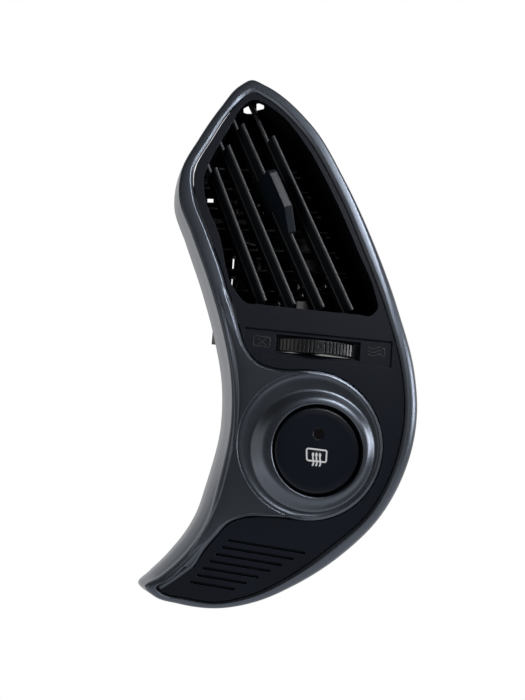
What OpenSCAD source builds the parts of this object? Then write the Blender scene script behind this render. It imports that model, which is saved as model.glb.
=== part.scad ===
// Side air vent of a dashboard, with slats, a shut-off wheel and a push switch.
// +Z is up, -Y faces the cabin. The origin is the root of the locating pin, in the seating plane.

/* [Face] */
// Radius of the curved front face
face_radius = 700; // [600:10:900]
// Height of the crest of that curve above the locating pin
face_crest_z = -17.5; // [-25:0.5:-10]
// Depth of the bezel at the crest, from the seating plane
bezel_depth = 28; // [26:0.5:32]

/* [Bezel] */
// Wall thickness of the bezel
bezel_wall = 2.2; // [1.8:0.1:2.6]
// Width of the sloping edge beside the insert
bezel_chamfer = 1.4; // [1:0.1:1.8]
// Depth of the lip that stands round the insert
bezel_lip = 3.4; // [3:0.1:4]
// Gap between the bezel and the insert, as seen from the front
insert_gap = 0.35; // [0.3:0.05:0.6]

/* [Insert] */
// How far the insert lies below the bezel face
insert_drop = 0.9; // [0.6:0.1:1.3]
// Wall thickness of the insert
insert_wall = 2.2; // [1.8:0.1:2.6]
// Depth of the tray round the thumbwheel
tray_depth = 0.8; // [0.4:0.1:1]
// Slope of the tray and of the sill above it, in degrees
tray_slope = 4.3; // [3:0.1:6]
// Number of narrow slots at the foot
slot_count = 7; // [5:1:7]
// Width of each narrow slot
slot_width = 1.3; // [0.9:0.1:1.6]
// Depth of each narrow slot
slot_depth = 1.5; // [1:0.1:1.8]

/* [Duct] */
// Height of the middle of the mouth
vent_z = 85; // [83:0.5:87]
// Angle at which the duct leans back with the face
vent_tilt = 8.5; // [7:0.5:10]
// Wall thickness of the duct
duct_wall = 1.8; // [1.6:0.1:2.2]
// How far the duct walls stand outside the mouth
duct_step = 2; // [1.6:0.1:2.2]
// Depth of the slatted part of the duct, from the face
duct_depth = 46; // [45:0.5:50]
// Inner width of the collar
collar_w = 43; // [40:1:43]
// Inner height of the collar
collar_h = 48; // [44:1:48]
// Distance from the seating plane to the end of the collar
collar_end = 72; // [70:1:80]

/* [Front slats] */
// Distance between the front slats at the sill
slat_pitch = 13.4; // [13:0.1:13.6]
// Lean of the slat on the right, in degrees
slat_lean = 21.9; // [20:0.1:23]
// Depth of the slat pins behind the face
slat_pivot = 12; // [11.5:0.1:13]
// Slat width in front of its pins
slat_fore = 8; // [7:0.1:8.4]
// Slat width behind its pins
slat_aft = 5.2; // [4.5:0.1:5.4]
// Thickness of a slat at its front edge
slat_edge = 2; // [1.6:0.1:2.2]
// Angle of the slats to straight ahead as they rest, in degrees
slat_rest = 12; // [8:1:16]
// Radius of the slat pins
slat_pin_r = 1.3; // [1.1:0.05:1.4]
// Distance from the slat pins to the link bar
crank_r = 8.5; // [8.3:0.1:9]

/* [Rear vanes] */
// Distance between the rear vanes
vane_pitch = 10.7; // [10.4:0.1:10.8]
// Depth of the rear vane pins behind the face
vane_pivot = 36; // [35.5:0.1:37]
// Width of a rear vane, front to back
vane_chord = 13; // [11:0.5:14]
// Thickness of a rear vane
vane_thick = 1.8; // [1.4:0.1:2]
// Radius of the rear vane pins
vane_pin_r = 1.2; // [1:0.05:1.3]

/* [Knob] */
// Length of the ridge of the knob
knob_ridge = 20; // [16:0.5:22]
// Thickness of the grip of the knob
knob_grip = 4.2; // [3.6:0.1:4.8]
// Distance from the slat pins to the bar that the fork turns
fork_r = 12; // [11.5:0.1:12.5]
// Radius of that bar
fork_bar_r = 1.5; // [1.2:0.05:1.6]

/* [Thumbwheel] */
// Radius of the thumbwheel
wheel_r = 32; // [30:0.5:33]
// Thickness of the thumbwheel rim
wheel_w = 6.2; // [5.6:0.1:6.8]
// How far the thumbwheel stands out of its tray
wheel_proud = 3.5; // [2.5:0.1:4]
// Distance between the ribs on the rim
rib_pitch = 1.8; // [1.5:0.05:2.2]
// Distance from the wheel axis to the rod pin
rod_crank = 12; // [11:0.5:13]

/* [Switch] */
// Height of the middle of the switch, below the locating pin
switch_z = -31.5; // [-33:0.5:-30]
// Radius of the switch cap
cap_r = 19.8; // [19:0.1:20.4]
// Gap round the switch cap
cap_gap = 1.3; // [0.8:0.1:1.6]
// Travel of the switch cap
cap_travel = 1.5; // [1:0.1:2]
// Depth of the cap skirt
cap_skirt = 9; // [8:0.5:10]
// Radius of the lamp window
lens_r = 2.5; // [2:0.1:3]

/* [Datum pin] */
// Radius of the locating pin
locator_r = 3; // [2.5:0.1:3.5]
// Length of the locating pin
locator_len = 8; // [6:0.5:10]

/* [Hidden] */

// Outline of the bezel face, clockwise from the tip, as [x, z]
rim_outer = [[-27, 151], [-20.5, 148.3], [1.5, 128], [17, 99], [30.3, 67], [41, 35.5], [48.2, 5],
    [48.9, -14], [43.5, -38.5], [31, -61], [12, -79], [-10, -92.5], [-27, -99.3], [-45, -102],
    [-62, -99.8], [-73, -96.3], [-77.3, -92], [-70, -87], [-59.7, -77.8], [-50.3, -64],
    [-44.5, -44.5], [-39.6, -20], [-39.6, 1.5], [-43.5, 23.3], [-49.7, 45.7], [-57.5, 68.6],
    [-63.5, 87], [-62.2, 100.4], [-53.7, 117.4], [-42.6, 135.2], [-33, 147.5]];
// Inner line of the rim, point for point beside the outline
rim_inner = [[-26.8, 144.2], [-20.8, 141.5], [-4, 125], [11.2, 97], [24, 64.3], [34.5, 33.5],
    [41.2, 4], [41.9, -12.5], [36.3, -38.5], [24, -60], [7.5, -74.2], [-13.5, -88.7], [-29, -96],
    [-46, -99.3], [-60, -97.2], [-69, -95], [-71.6, -93], [-66, -89.8], [-56, -81],
    [-46.3, -67.5], [-39, -45.5], [-34, -20], [-34, 2], [-38.2, 23.5], [-42, 46],
    [-49.5, 69], [-55.8, 87.5], [-56.3, 100], [-47.7, 117.4], [-36.5, 135.2], [-29.8, 142.3]];
// How far each rim point's wall flares out towards the seating plane
rim_flare = [0, 0, 0, 0, 0, 0, 0, 0, 0, 0, 0, -0.3, -0.6, -0.8, -0.8, 0, 1.5, 3.5, 4.3, 4, 2.6,
    1.4, 0.9, 0.7, 0.6, 0.6, 0.5, 0.4, 0.3, 0.2, 0];
// Edge of the flank beside the insert above the dish, and below it
flank_above = [[-42.6, 46], [-39.3, 37.8], [-35.4, 23.5], [-33, 16], [-27.5, 9], [-17, 5.6],
    [-4, 5.6]];
flank_below = [[-6, -62.6], [-22, -61.4], [-33, -61.6], [-40.5, -64.5], [-45.2, -69.5],
    [-51, -76.4], [-55.5, -83.5]];
// Left side of the flank, under the land of the rim
flank_left = [[-62, -84], [-53, -70], [-47, -58], [-41.5, -40], [-37, -18], [-37, 2],
    [-41, 24], [-47.5, 46]];
// Circle of the dish round the switch
dish_centre = [-3.2, -29];
dish_r = 32.8;
// Outline of the mouth, clockwise from its tip
mouth = [[-27.3, 139.8], [-15.5, 134.3], [-3.1, 119], [9.2, 94.5], [21.7, 62.8], [29.2, 42],
    [30, 35.5], [26.5, 32], [20, 32.4], [-26, 36], [-32.5, 36.6], [-36.8, 41], [-44.8, 69.5],
    [-51.2, 88], [-51.5, 97.5], [-48.5, 106], [-38.6, 124.5], [-30.2, 138]];
// Middle of the wheel opening and of its tray
wheel_x = 1.3;
wheel_z = 16.3;

run = 0.06; // Clearance of a pin in its bore, on the radius
pivot_play = 0.09; // Clearance of a link's eye on its pin, on the radius
slack = 0.3; // Clearance between pieces that pass each other
fine = 48;
big = 720;

// Depth of the face at a height, and of a surface that lies further in
function face_y(z, inset = 0) =
    face_radius - bezel_depth - sqrt(pow(face_radius - inset, 2) - pow(z - face_crest_z, 2));

// Smooth closed or open line through points, with tangents weighted by the spacing
function wrap(i, n) = (i % n + n) % n;
function tangent(a, b, c) = let (p = norm(b - a), q = norm(c - b))
    ((b - a) / p * q + (c - b) / q * p) / (p + q);
function hermite(a, b, ta, tb, t) = let (d = norm(b - a), u = t * t, v = u * t)
    a * (2 * v - 3 * u + 1) + ta * d * (v - 2 * u + t) + b * (3 * u - 2 * v) + tb * d * (v - u);
function loop_line(p, steps) = let (n = len(p))
    [for (i = [0 : n - 1], k = [0 : steps - 1]) let (
        a = p[wrap(i - 1, n)], b = p[i], c = p[wrap(i + 1, n)], d = p[wrap(i + 2, n)])
        hermite(b, c, tangent(a, b, c), tangent(b, c, d), k / steps)];
function open_line(p, steps, late = 0) = let (n = len(p))
    [for (i = [0 : n - 2], k = [0 : steps - (i == n - 2 && late == 0 ? 0 : 1)]) let (
        b = p[i], c = p[i + 1],
        tb = i == 0 ? (c - b) / norm(c - b) : tangent(p[i - 1], b, c),
        tc = i == n - 2 ? (c - b) / norm(c - b) : tangent(b, c, p[i + 2]))
        hermite(b, c, tb, tc, (k + late) / steps)];
function smooth_list(v, steps) = let (n = len(v))
    [for (i = [0 : n - 1], k = [0 : steps - 1]) v[i] + (v[wrap(i + 1, n)] - v[i]) * k / steps];

// Line moved sideways, to the left of its run when d is above zero
function shifted(p, d) = let (n = len(p))
    [for (i = [0 : n - 1]) let (t = p[wrap(i + 1, n)] - p[wrap(i - 1, n)])
        p[i] + d * [-t.y, t.x] / norm(t)];

// Where a level line crosses an outline, leftmost and rightmost
function crossings(p, z) = let (n = len(p))
    [for (i = [0 : n - 1]) let (a = p[i], b = p[wrap(i + 1, n)])
        if ((a.y > z) != (b.y > z)) a.x + (b.x - a.x) * (z - a.y) / (b.y - a.y)];

// Sampled lines of the bezel and the insert
rim_steps = 4;
outer_line = loop_line(rim_outer, rim_steps);
inner_line = loop_line(rim_inner, rim_steps);
flare_line = smooth_list(rim_flare, rim_steps);
edge_r = dish_r + bezel_chamfer + 0.1;
arc_from = 76;
arc_to = -84;
function flank(steps, turn, late = 0) = concat(open_line(flank_above, steps, late),
    [for (a = [arc_from - late * turn : -turn : arc_to]) dish_centre + edge_r * [cos(a), sin(a)]],
    open_line(flank_below, steps, late), open_line(flank_left, 2, late));
flank_turn = 7.64;
sheet_turn = 6.42;
sheet_late = 0.34;
sheet_lap = 0.071;
flank_line = flank(3, flank_turn);
flank_sheet_line = shifted(flank(3, sheet_turn, sheet_late), sheet_lap - bezel_chamfer);
mouth_line = loop_line(mouth, 4);

// Places in the duct's own leaning frame, where y is the depth behind the face
function to_duct(p) = [p.x, (p.y - vent_z) / cos(vent_tilt)];
duct_mouth = [for (p = mouth_line) to_duct(p)];
duct_inner = shifted(duct_mouth, duct_step);
duct_outer = shifted(duct_mouth, duct_step + duct_wall);

// Slat places, counted from the left
slat_count = 4;
function lean(i) = slat_lean - 0.35 * pow(slat_count - 1 - i, 2);
slat_foot_x = 17.7 - slat_pitch * (slat_count - 1);
slat_foot_w = to_duct([0, 33]).y;
slat_tops = [104, 116, 127.5, 122];
slat_foot_gap = 4.9;
function slat_x(i) = slat_foot_x + slat_pitch * i;
function slat_top(i) = (to_duct([0, slat_tops[i]]).y - slat_foot_w) / cos(lean(i));

// Distances along a slat's axis at which it meets the duct walls, the floor and the roof
function slat_hits(i, p) = let (n = len(p), k = tan(lean(i)),
    side = [for (q = p) q.x - slat_x(i) + (q.y - slat_foot_w) * k])
    [for (j = [0 : n - 1]) let (m = wrap(j + 1, n)) if ((side[j] > 0) != (side[m] > 0))
        (p[j].y + (p[m].y - p[j].y) * side[j] / (side[j] - side[m]) - slat_foot_w) / cos(lean(i))];

// Rear vane places, counted from the bottom
vane_count = 8;
function vane_w(k) = -43.9 + vane_pitch * k;
driven = 5;
vane_end_gap = 2.2;
link_x = -20;
vane_link_r = 4.6;
vane_link_pin = 1;

// Place of the bar that the fork turns, on the third slat
knob_slat = 2;
knob_at = (vane_w(driven) - slat_foot_w) / cos(lean(knob_slat));
bar_x = slat_x(knob_slat) - (vane_w(driven) - slat_foot_w) * tan(lean(knob_slat));
fork_gap = 2 * fork_bar_r + 1.1;

// Wheel and damper places
tray_face = insert_drop + tray_depth;
wheel_y = face_y(wheel_z, tray_face) - wheel_proud + wheel_r;
damper_y = 50;
rod_level = wheel_w / 2 + 1.2;
rod_thick = 1.8;
collar_cx = -11.5;
collar_cz = 55.5;
// Middle of the collar as seen from the wheel, across and along the wheel axis
damper_dx = (collar_cx - wheel_x) * cos(tray_slope) - (collar_cz - wheel_z) * sin(tray_slope);
collar_up = (collar_cx - wheel_x) * sin(tray_slope) + (collar_cz - wheel_z) * cos(tray_slope);
rod_len = damper_y - wheel_y;

// Switch places
switch_y = face_y(switch_z);
bore_r = cap_r + cap_gap;
flange_y = switch_y + 9.4;
guide_r = cap_r - 1.9;
board_y = -4;
board_t = 1.6;
switch_screw_r = 27.4;
switch_screw_angles = [90, 210, 330];

// Screw places on the bezel, as [x, z]
housing_screw_at = [[-38.34, 24.5], [38.8, 27.1], [-58.76, 91.71]];
screw_r = 1.1;
boss_r = 2.4;
boss_turn = 10.9;
boss_sides = 24;
ear_front = -12;
ear_thick = 2;
ear_inset = 0.25;
clip_at = [[41.9, 13, 12], [37.8, -37.7, -24], [-4.9, -84.1, -60], [-41.8, -45.1, 166],
    [-35.2, 5.6, 186], [-27, 145.6, 90]];

// Solid between two lists of rings, closed round and along
module ring_sweep(rings) {
    n = len(rings);
    m = len(rings[0]);
    points = [for (r = rings) for (p = r) p];
    faces = [for (i = [0 : n - 1], j = [0 : m - 1]) let (
        a = i * m + j, b = i * m + wrap(j + 1, m),
        c = wrap(i + 1, n) * m + wrap(j + 1, m), d = wrap(i + 1, n) * m + j)
        each [[a, c, b], [a, d, c]]];
    polyhedron(points, faces, convexity = 8);
}

// Prism of an outline of [x, z] points between two depths
module prism(outline, from, to)
    translate([0, to, 0]) rotate([90, 0, 0]) linear_extrude(to - from) polygon(outline);

// Everything behind the face moved in by an inset
module behind_face(inset)
    difference() {
        translate([-130, -60, -130]) cube([230, 190, 320]);
        translate([-140, face_radius - bezel_depth, face_crest_z])
            difference() {
                translate([0, -face_radius - 40, -160]) cube([250, face_radius + 40, 340]);
                rotate([0, 90, 0]) cylinder(r = face_radius - inset, h = 250, $fn = big);
            }
    }

// Curved sheet between two insets of the face
module face_sheet(from, to)
    translate([-140, face_radius - bezel_depth, face_crest_z]) rotate([0, 90, 0])
        intersection() {
            difference() {
                cylinder(r = face_radius - from, h = 250, $fn = big);
                translate([0, 0, -1]) cylinder(r = face_radius - to, h = 252, $fn = big);
            }
            translate([-200, -face_radius - 10, -1]) cube([400, face_radius, 252]);
        }

// Frames of the duct, of a slat and of the wheel
module duct_frame()
    translate([0, face_y(vent_z), vent_z]) rotate([-vent_tilt, 0, 0]) children();
module slat_frame(i)
    duct_frame() translate([slat_x(i), slat_pivot, slat_foot_w]) rotate([0, -lean(i), 0]) children();
module wheel_frame()
    translate([wheel_x, wheel_y, wheel_z]) rotate([0, tray_slope, 0]) children();

// Bar with round ends between two [x, z] points
module slot_bar(a, b, width, from, to)
    let (d = b - a, angle = atan2(d.y, d.x)) translate([a.x, to, a.y]) rotate([90, 0, 0])
        linear_extrude(to - from) rotate(angle) {
            translate([0, -width / 2]) square([norm(d), width]);
            circle(d = width, $fn = 24);
            translate([norm(d), 0]) circle(d = width, $fn = 24);
        }

// Screw with a domed head, driven towards -Y, head seat at y = 0
module screw(length) {
    rotate([90, 0, 0]) cylinder(r = screw_r, h = length, $fn = 24);
    rotate([-90, 0, 0]) difference() {
        union() {
            cylinder(r = 2.2, h = 1, $fn = fine);
            translate([0, 0, 1]) cylinder(r1 = 2.2, r2 = 1.3, h = 0.7, $fn = fine);
        }
        for (a = [0, 90]) rotate(a) translate([-1.2, -0.25, 0.8]) cube([2.4, 0.5, 2]);
    }
}

// Bezel

// Section of the rim at one station, from the seating plane over the face to the lip and back
function rim_section(p, q, flare) = let (
    w = norm(q - p), u = (q - p) / w,
    lip = min(1.4, w * 0.3), wall = min(bezel_wall, w * 0.5), slope = min(bezel_chamfer, w * 0.3),
    at = function (s, part, inset) let (c = p + u * s, f = face_y(c.y))
        [c.x, part * f + inset, c.y])
    [at(-flare, 0, 0), at(-0.9 * flare, 0.5, 0), at(-0.6 * flare, 0.8, 0), at(0, 1, 1.3),
     at(0.3, 1, 0.45), at(1.1, 1, 0), at((w - slope) * 0.55, 1, -0.25), at(w - slope, 1, -0.1),
     at(w - 0.15, 1, 1), at(w, 1, 1.3), at(w, 1, bezel_lip), at(w - lip, 1, bezel_lip),
     at(w - lip, 1, bezel_wall + 0.3), at(wall, 1, bezel_wall + 0.8),
     at(wall - 0.8 * flare, 0.55, 0), at(wall - flare, 0, 0)];

// The edge strip reaches under the flank's sheet, and the dish under the sheet's hole
edge_lap = bezel_chamfer + 0.24;
edge_back = bezel_wall + 0.2;
edge_foot = bezel_lip - 0.43;
dish_lap = 0.41;
dish_sides = 93;
dish_start = 3.2;

// Section of the flank's edge, from the face over the slope to the lip and back
function edge_section(p, n) = let (
    at = function (s, inset) let (c = p + n * s) [c.x, face_y(c.y) + inset, c.y])
    [at(edge_lap, edge_back), at(1.2, edge_back), at(1.2, edge_foot),
     at(0, edge_foot), at(0, 1.3), at(0.15, 1), at(bezel_chamfer, 0.05),
     at(edge_lap, 0.05)];

// Section of the dish at one angle, from the bore over the ring and the cove to the circle
function dish_section(a) = let (
    d = [cos(a), sin(a)], c = [0, switch_z], e = dish_centre - c,
    out = e * d + sqrt(dish_r * dish_r - pow(e.x * d.y - e.y * d.x, 2)),
    far = face_y(switch_z + out * d.y), low = bore_r + 5.6,
    at = function (r, y) [r * d.x, y, switch_z + r * d.y])
    [at(bore_r, switch_y + 9), at(bore_r, switch_y - 0.5), at(bore_r + 0.6, switch_y - 1.3),
     at(bore_r + 2.1, switch_y - 1.7), at(bore_r + 3.8, switch_y - 1),
     at(bore_r + 4.8, switch_y + 0.7), at(low, switch_y + 1.5),
     at(low + (out - low) * 0.4, switch_y + 1.3), at(low + (out - low) * 0.75, switch_y + 0.5),
     at(out, far + 0.1), at(out + 0.8, far + 0.3), at(out + 0.8, far + bezel_wall - 0.2),
     at(low, switch_y + 1.5 + bezel_wall), at(bore_r + 2.4, switch_y + 3.2),
     at(bore_r + 2.4, switch_y + 9)];

module bezel_boss(p, to, root)
    translate([p.x, 0, p.y]) rotate([90, 0, 0])
        hull() {
            translate([0, 0, -to]) rotate(boss_turn) cylinder(r = boss_r, h = 0.1, $fn = boss_sides);
            translate([0, 0, -root]) rotate(boss_turn) cylinder(r = boss_r, h = 0.1, $fn = boss_sides);
        }

module clip_tower(c)
    translate([c.x, 0, c.y]) rotate([0, -c.z, 0]) {
        hull() {
            translate([-1.6, -8, -4]) cube([3.2, 1, 8]);
            translate([-1, 7, -3.4]) cube([2, 1, 6.8]);
        }
        // Ribs, which start behind the face
        front = max(ear_front, face_y(c.y, bezel_wall));
        hull() {
            translate([-1.2, front, -3]) cube([4.6, -2 - front, 1.6]);
            translate([-0.8, 0, -2.8]) cube([2, 1, 1.2]);
        }
        hull() {
            translate([-1.2, front, 1.4]) cube([4.6, -2 - front, 1.6]);
            translate([-0.8, 0, 1.6]) cube([2, 1, 1.2]);
        }
    }

module bezel()
    color([0.33, 0.34, 0.35]) difference() {
        union() {
            ring_sweep([for (i = [0 : len(outer_line) - 1])
                rim_section(outer_line[i], inner_line[i], flare_line[i])]);
            ring_sweep([for (i = [0 : len(flank_line) - 1]) let (
                n = len(flank_line), t = flank_line[wrap(i + 1, n)] - flank_line[wrap(i - 1, n)])
                edge_section(flank_line[i], [t.y, -t.x] / norm(t))]);
            difference() {
                intersection() {
                    prism(flank_sheet_line, -40, 0);
                    face_sheet(0, bezel_wall);
                }
                translate([dish_centre.x, 0, dish_centre.y]) rotate([90, 0, 0])
                    cylinder(r = dish_r + dish_lap, h = 60, $fn = dish_sides);
            }
            ring_sweep([for (i = [0 : 71]) dish_section(dish_start + 5 * i)]);
            for (p = housing_screw_at)
                bezel_boss(p, ear_front, face_y(p.y, bezel_wall));
            for (a = switch_screw_angles) let (
                p = [0, switch_z] + switch_screw_r * [cos(a), sin(a)])
                bezel_boss(p, flange_y, switch_y + 2.4);
            for (c = clip_at) clip_tower(c);
        }
        for (p = housing_screw_at)
            translate([p.x, ear_front + 1, p.y]) rotate([90, 0, 0])
                cylinder(r = screw_r + run, h = 9, $fn = 24);
        for (a = switch_screw_angles) let (
            p = [0, switch_z] + switch_screw_r * [cos(a), sin(a)])
            translate([p.x, flange_y + 1, p.y]) rotate([90, 0, 0])
                cylinder(r = screw_r + run, h = 6.4, $fn = 24);
    }

// Insert

function slot_left(i) = [-39.7 - 2.8 * i, -71.8 - 3.05 * i];
function slot_right(i) = [-5.7 - 5.3 * i, -77.5 - 2.65 * i];
wheel_slot_w = 40;
wheel_slot_h = 8.8;
tray_w = 70;
tray_h = 12.4;
well_depth = 8.5;

flange_top = 27;
flange_foot = -88;
flange_reach = 0.9;
flange_thick = 1.1;
flange_root = 2.4;

// Flange of the insert under the lip of the bezel, below the mouth
module flange_hole()
    intersection() {
        prism(shifted(inner_line, -flange_root), -50, 10);
        translate([-90, -60, flange_foot]) cube([180, 80, 180]);
        difference() {
            translate([-90, -60, -110]) cube([180, 80, 200]);
            prism(shifted(flank_line, flange_root), -51, 11);
        }
    }

module insert_flange()
    difference() {
        intersection() {
            translate([-90, -60, -110]) cube([180, 60, 110 + flange_top]);
            face_sheet(bezel_lip + 0.1, bezel_lip + 0.1 + flange_thick);
            prism(shifted(inner_line, flange_reach), -50, 0);
        }
        flange_hole();
        prism(shifted(flank_line, -flange_reach), -50, 10);
        for (p = concat(housing_screw_at, [for (a = switch_screw_angles)
            [0, switch_z] + switch_screw_r * [cos(a), sin(a)]]))
            translate([p.x, 0, p.y]) rotate([90, 0, 0]) cylinder(r = boss_r + 0.2, h = 40, $fn = 24);
        duct_prism(shifted(duct_outer, 0.3), -10, 60);
    }

module insert_panel()
    color([0.09, 0.09, 0.1]) difference() {
        union() {
            difference() {
                union() {
                    intersection() {
                        prism(shifted(inner_line, -insert_gap), -40, 0);
                        face_sheet(insert_drop, insert_drop + insert_wall);
                    }
                    intersection() {
                        difference() {
                            prism(shifted(inner_line, -insert_gap), -40, 0);
                            flange_hole();
                            duct_prism(shifted(duct_outer, 0.3), -10, 60);
                        }
                        face_sheet(insert_drop + 1, bezel_lip + 0.1 + flange_thick);
                        translate([-90, -60, -110]) cube([180, 60, 110 + flange_top]);
                    }
                    intersection() {
                        translate([wheel_x, 0, wheel_z]) rotate([0, tray_slope, 0])
                            translate([-tray_w / 2 - 0.5, -40, -tray_h / 2 - 1.2])
                                cube([tray_w - 3, 40, tray_h + 2.4]);
                        face_sheet(insert_drop + 0.1, insert_drop + insert_wall + tray_depth);
                        prism(shifted(inner_line, -insert_gap - 2), -40, 0);
                    }
                    // Walls of the well that the wheel turns in
                    intersection() {
                        wheel_frame()
                            translate([-wheel_slot_w / 2 - 2, -wheel_r, -wheel_slot_h / 2 - 1.4])
                                cube([wheel_slot_w + 4, 15, wheel_slot_h + 2.8]);
                        face_sheet(insert_drop + 0.5, insert_drop + well_depth);
                    }
                }
                prism(shifted(flank_line, insert_gap), -50, 10);
            }
            insert_flange();
        }
        prism(mouth_line, -50, 10);
        translate([wheel_x, 0, wheel_z]) rotate([0, tray_slope, 0])
            translate([-wheel_slot_w / 2, -50, -wheel_slot_h / 2])
                cube([wheel_slot_w, 50 + face_y(wheel_z, tray_face + 2.2), wheel_slot_h]);
        wheel_frame() translate([0, 0, -wheel_w / 2 - slack])
            cylinder(r = wheel_r + 0.5, h = wheel_w + 2 * slack, $fn = 180);
        intersection() {
            translate([wheel_x, 0, wheel_z]) rotate([0, tray_slope, 0])
                translate([-tray_w / 2, -40, -tray_h / 2]) cube([tray_w, 40, tray_h]);
            face_sheet(insert_drop - 1, tray_face);
        }
        for (i = [0 : slot_count - 1])
            intersection() {
                slot_bar(slot_left(i), slot_right(i), slot_width, -40, 0);
                face_sheet(insert_drop - 1, insert_drop + slot_depth);
            }
    }

// Duct

module duct_prism(outline, from, to)
    duct_frame() prism(outline, from, to);

module collar_box(grow, from, to)
    translate([collar_cx, from, collar_cz]) rotate([0, tray_slope, 0])
        translate([-collar_w / 2 - grow, 0, -collar_h / 2 - grow])
            cube([collar_w + 2 * grow, to - from, collar_h + 2 * grow]);

// Small openings in the wall of the duct, as [x, y, z, width, height]
wall_windows = [[-27.6, 3.5, 139.6, 4.2, 3], [-22, -0.6, 139.9, 3.6, 2.8], [-43.2, 28.4, 100.8, 3, 6.2]];

module vent_housing()
    color([0.06, 0.06, 0.065]) difference() {
        union() {
            intersection() {
                duct_prism(duct_outer, 0, duct_depth + duct_wall);
                behind_face(insert_drop + insert_wall);
            }
            collar_box(duct_wall, 16, collar_end);
            // Ears on the bezel bosses
            for (p = housing_screw_at)
                translate([p.x, ear_front + ear_thick, p.y]) rotate([90, 0, 0])
                    cylinder(r = boss_r - ear_inset, h = ear_thick, $fn = fine);
            translate([-38, ear_front, 23]) cube([10, ear_thick, 11]);
            translate([30, ear_front, 24.8]) cube([7.5, ear_thick, 8.4]);
            translate([-59, ear_front, 89.6]) cube([8, ear_thick, 4.8]);
            // Fork that carries the wheel, and the pin plate below it
            wheel_frame() {
                translate([-5, -6, wheel_w / 2 + slack]) cube([10, 17, 4.4]);
                translate([-5, 9, -wheel_w / 2 - 2.8]) cube([10, 2, wheel_w + 12]);
                translate([-5, -6, -wheel_w / 2 - slack - 2.5]) cube([10, 17, 2.5]);
            }
            translate([-6, -3, -5]) cube([12, 3, 16]);
            rotate([-90, 0, 0]) cylinder(r = locator_r, h = locator_len, $fn = fine);
        }
        duct_prism(duct_inner, -10, duct_depth);
        collar_box(0, 10, collar_end + 1);
        // Room for the lip of the bezel
        difference() {
            face_sheet(0, bezel_lip + slack);
            prism(shifted(inner_line, -insert_gap), -60, 10);
        }
        for (p = housing_screw_at)
            translate([p.x, 0, p.y]) rotate([90, 0, 0])
                cylinder(r = screw_r + 0.25, h = 40, $fn = 24);
        for (w = wall_windows) translate([w[0], w[1], w[2]]) rotate([8, 0, -9])
            translate([-w[3] / 2, -3, -w[4] / 2]) cube([w[3], 12, w[4]]);
        for (i = [0 : slat_count - 1])
            slat_frame(i) translate([0, 0, -12]) cylinder(r = slat_pin_r + run, h = 150, $fn = fine);
        duct_frame() for (k = [0 : vane_count - 1])
            let (x = crossings(duct_inner, vane_w(k)))
            translate([min(x) - 4, vane_pivot, vane_w(k)]) rotate([0, 90, 0])
                cylinder(r = vane_pin_r + run, h = max(x) - min(x) + 8, $fn = fine);
        wheel_frame() translate([0, 0, -10]) cylinder(r = 2 + run, h = 22, $fn = fine);
        translate([collar_cx, damper_y, collar_cz]) rotate([0, tray_slope, 0])
            translate([0, 0, -collar_h]) cylinder(r = 2 + run, h = 2 * collar_h, $fn = fine);
    }

// Front slats

module slat_blade(i) {
    hits = slat_hits(i, duct_inner);
    low = min(hits);
    high = max(hits);
    rotate([0, 0, slat_rest]) {
        translate([0, 0, low + slat_foot_gap]) linear_extrude(slat_top(i) - low - slat_foot_gap) {
            polygon([[-slat_edge / 2, -slat_fore + 1], [slat_edge / 2, -slat_fore + 1],
                [0.6, slat_aft - 0.6], [-0.6, slat_aft - 0.6]]);
            translate([0, -slat_fore + 1]) circle(d = slat_edge, $fn = 24);
            translate([0, slat_aft - 0.6]) circle(r = 0.6, $fn = 24);
        }
        // Lug and pin for the link bar
        translate([-1.6, 0, link_at(i)]) cube([3.2, crank_r, 1.4]);
        translate([0, crank_r, link_at(i) - 2.5]) cylinder(r = 1, h = 3.9, $fn = 24);
        translate([0, crank_r, link_at(i)]) cylinder(r = 1.6, h = 1.4, $fn = 24);
    }
    translate([0, 0, low - 1.5]) cylinder(r = slat_pin_r, h = high - low + 3, $fn = fine);
}

// Distance up a slat at which the link crosses it
function link_at(i) = 7 + (slat_x(i) - slat_x(0)) * sin(slat_lean);

module front_vane(i)
    color([0.07, 0.07, 0.075]) slat_frame(i) slat_blade(i);

module front_vane_link()
    color([0.1, 0.1, 0.11]) difference() {
        union() {
            for (i = [0 : slat_count - 2]) link_bar(i);
            for (i = [0 : slat_count - 1]) link_eye(i, 2.2, 0);
        }
        for (i = [0 : slat_count - 1]) link_eye(i, 1 + pivot_play, 1);
    }

module link_eye(i, r, more)
    slat_frame(i) rotate([0, 0, slat_rest])
        translate([0, crank_r, link_at(i) - 2.1 - more]) cylinder(r = r, h = 1.6 + 2 * more, $fn = fine);

module link_bar(i)
    slat_frame(i) rotate([0, 0, slat_rest]) translate([0, crank_r, link_at(i) - 2.1])
        rotate([0, 0, -slat_rest]) translate([0, -1.4, 0])
            cube([slat_pitch * cos(slat_lean), 2.8, 1.6]);

// Knob on the third slat

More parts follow.
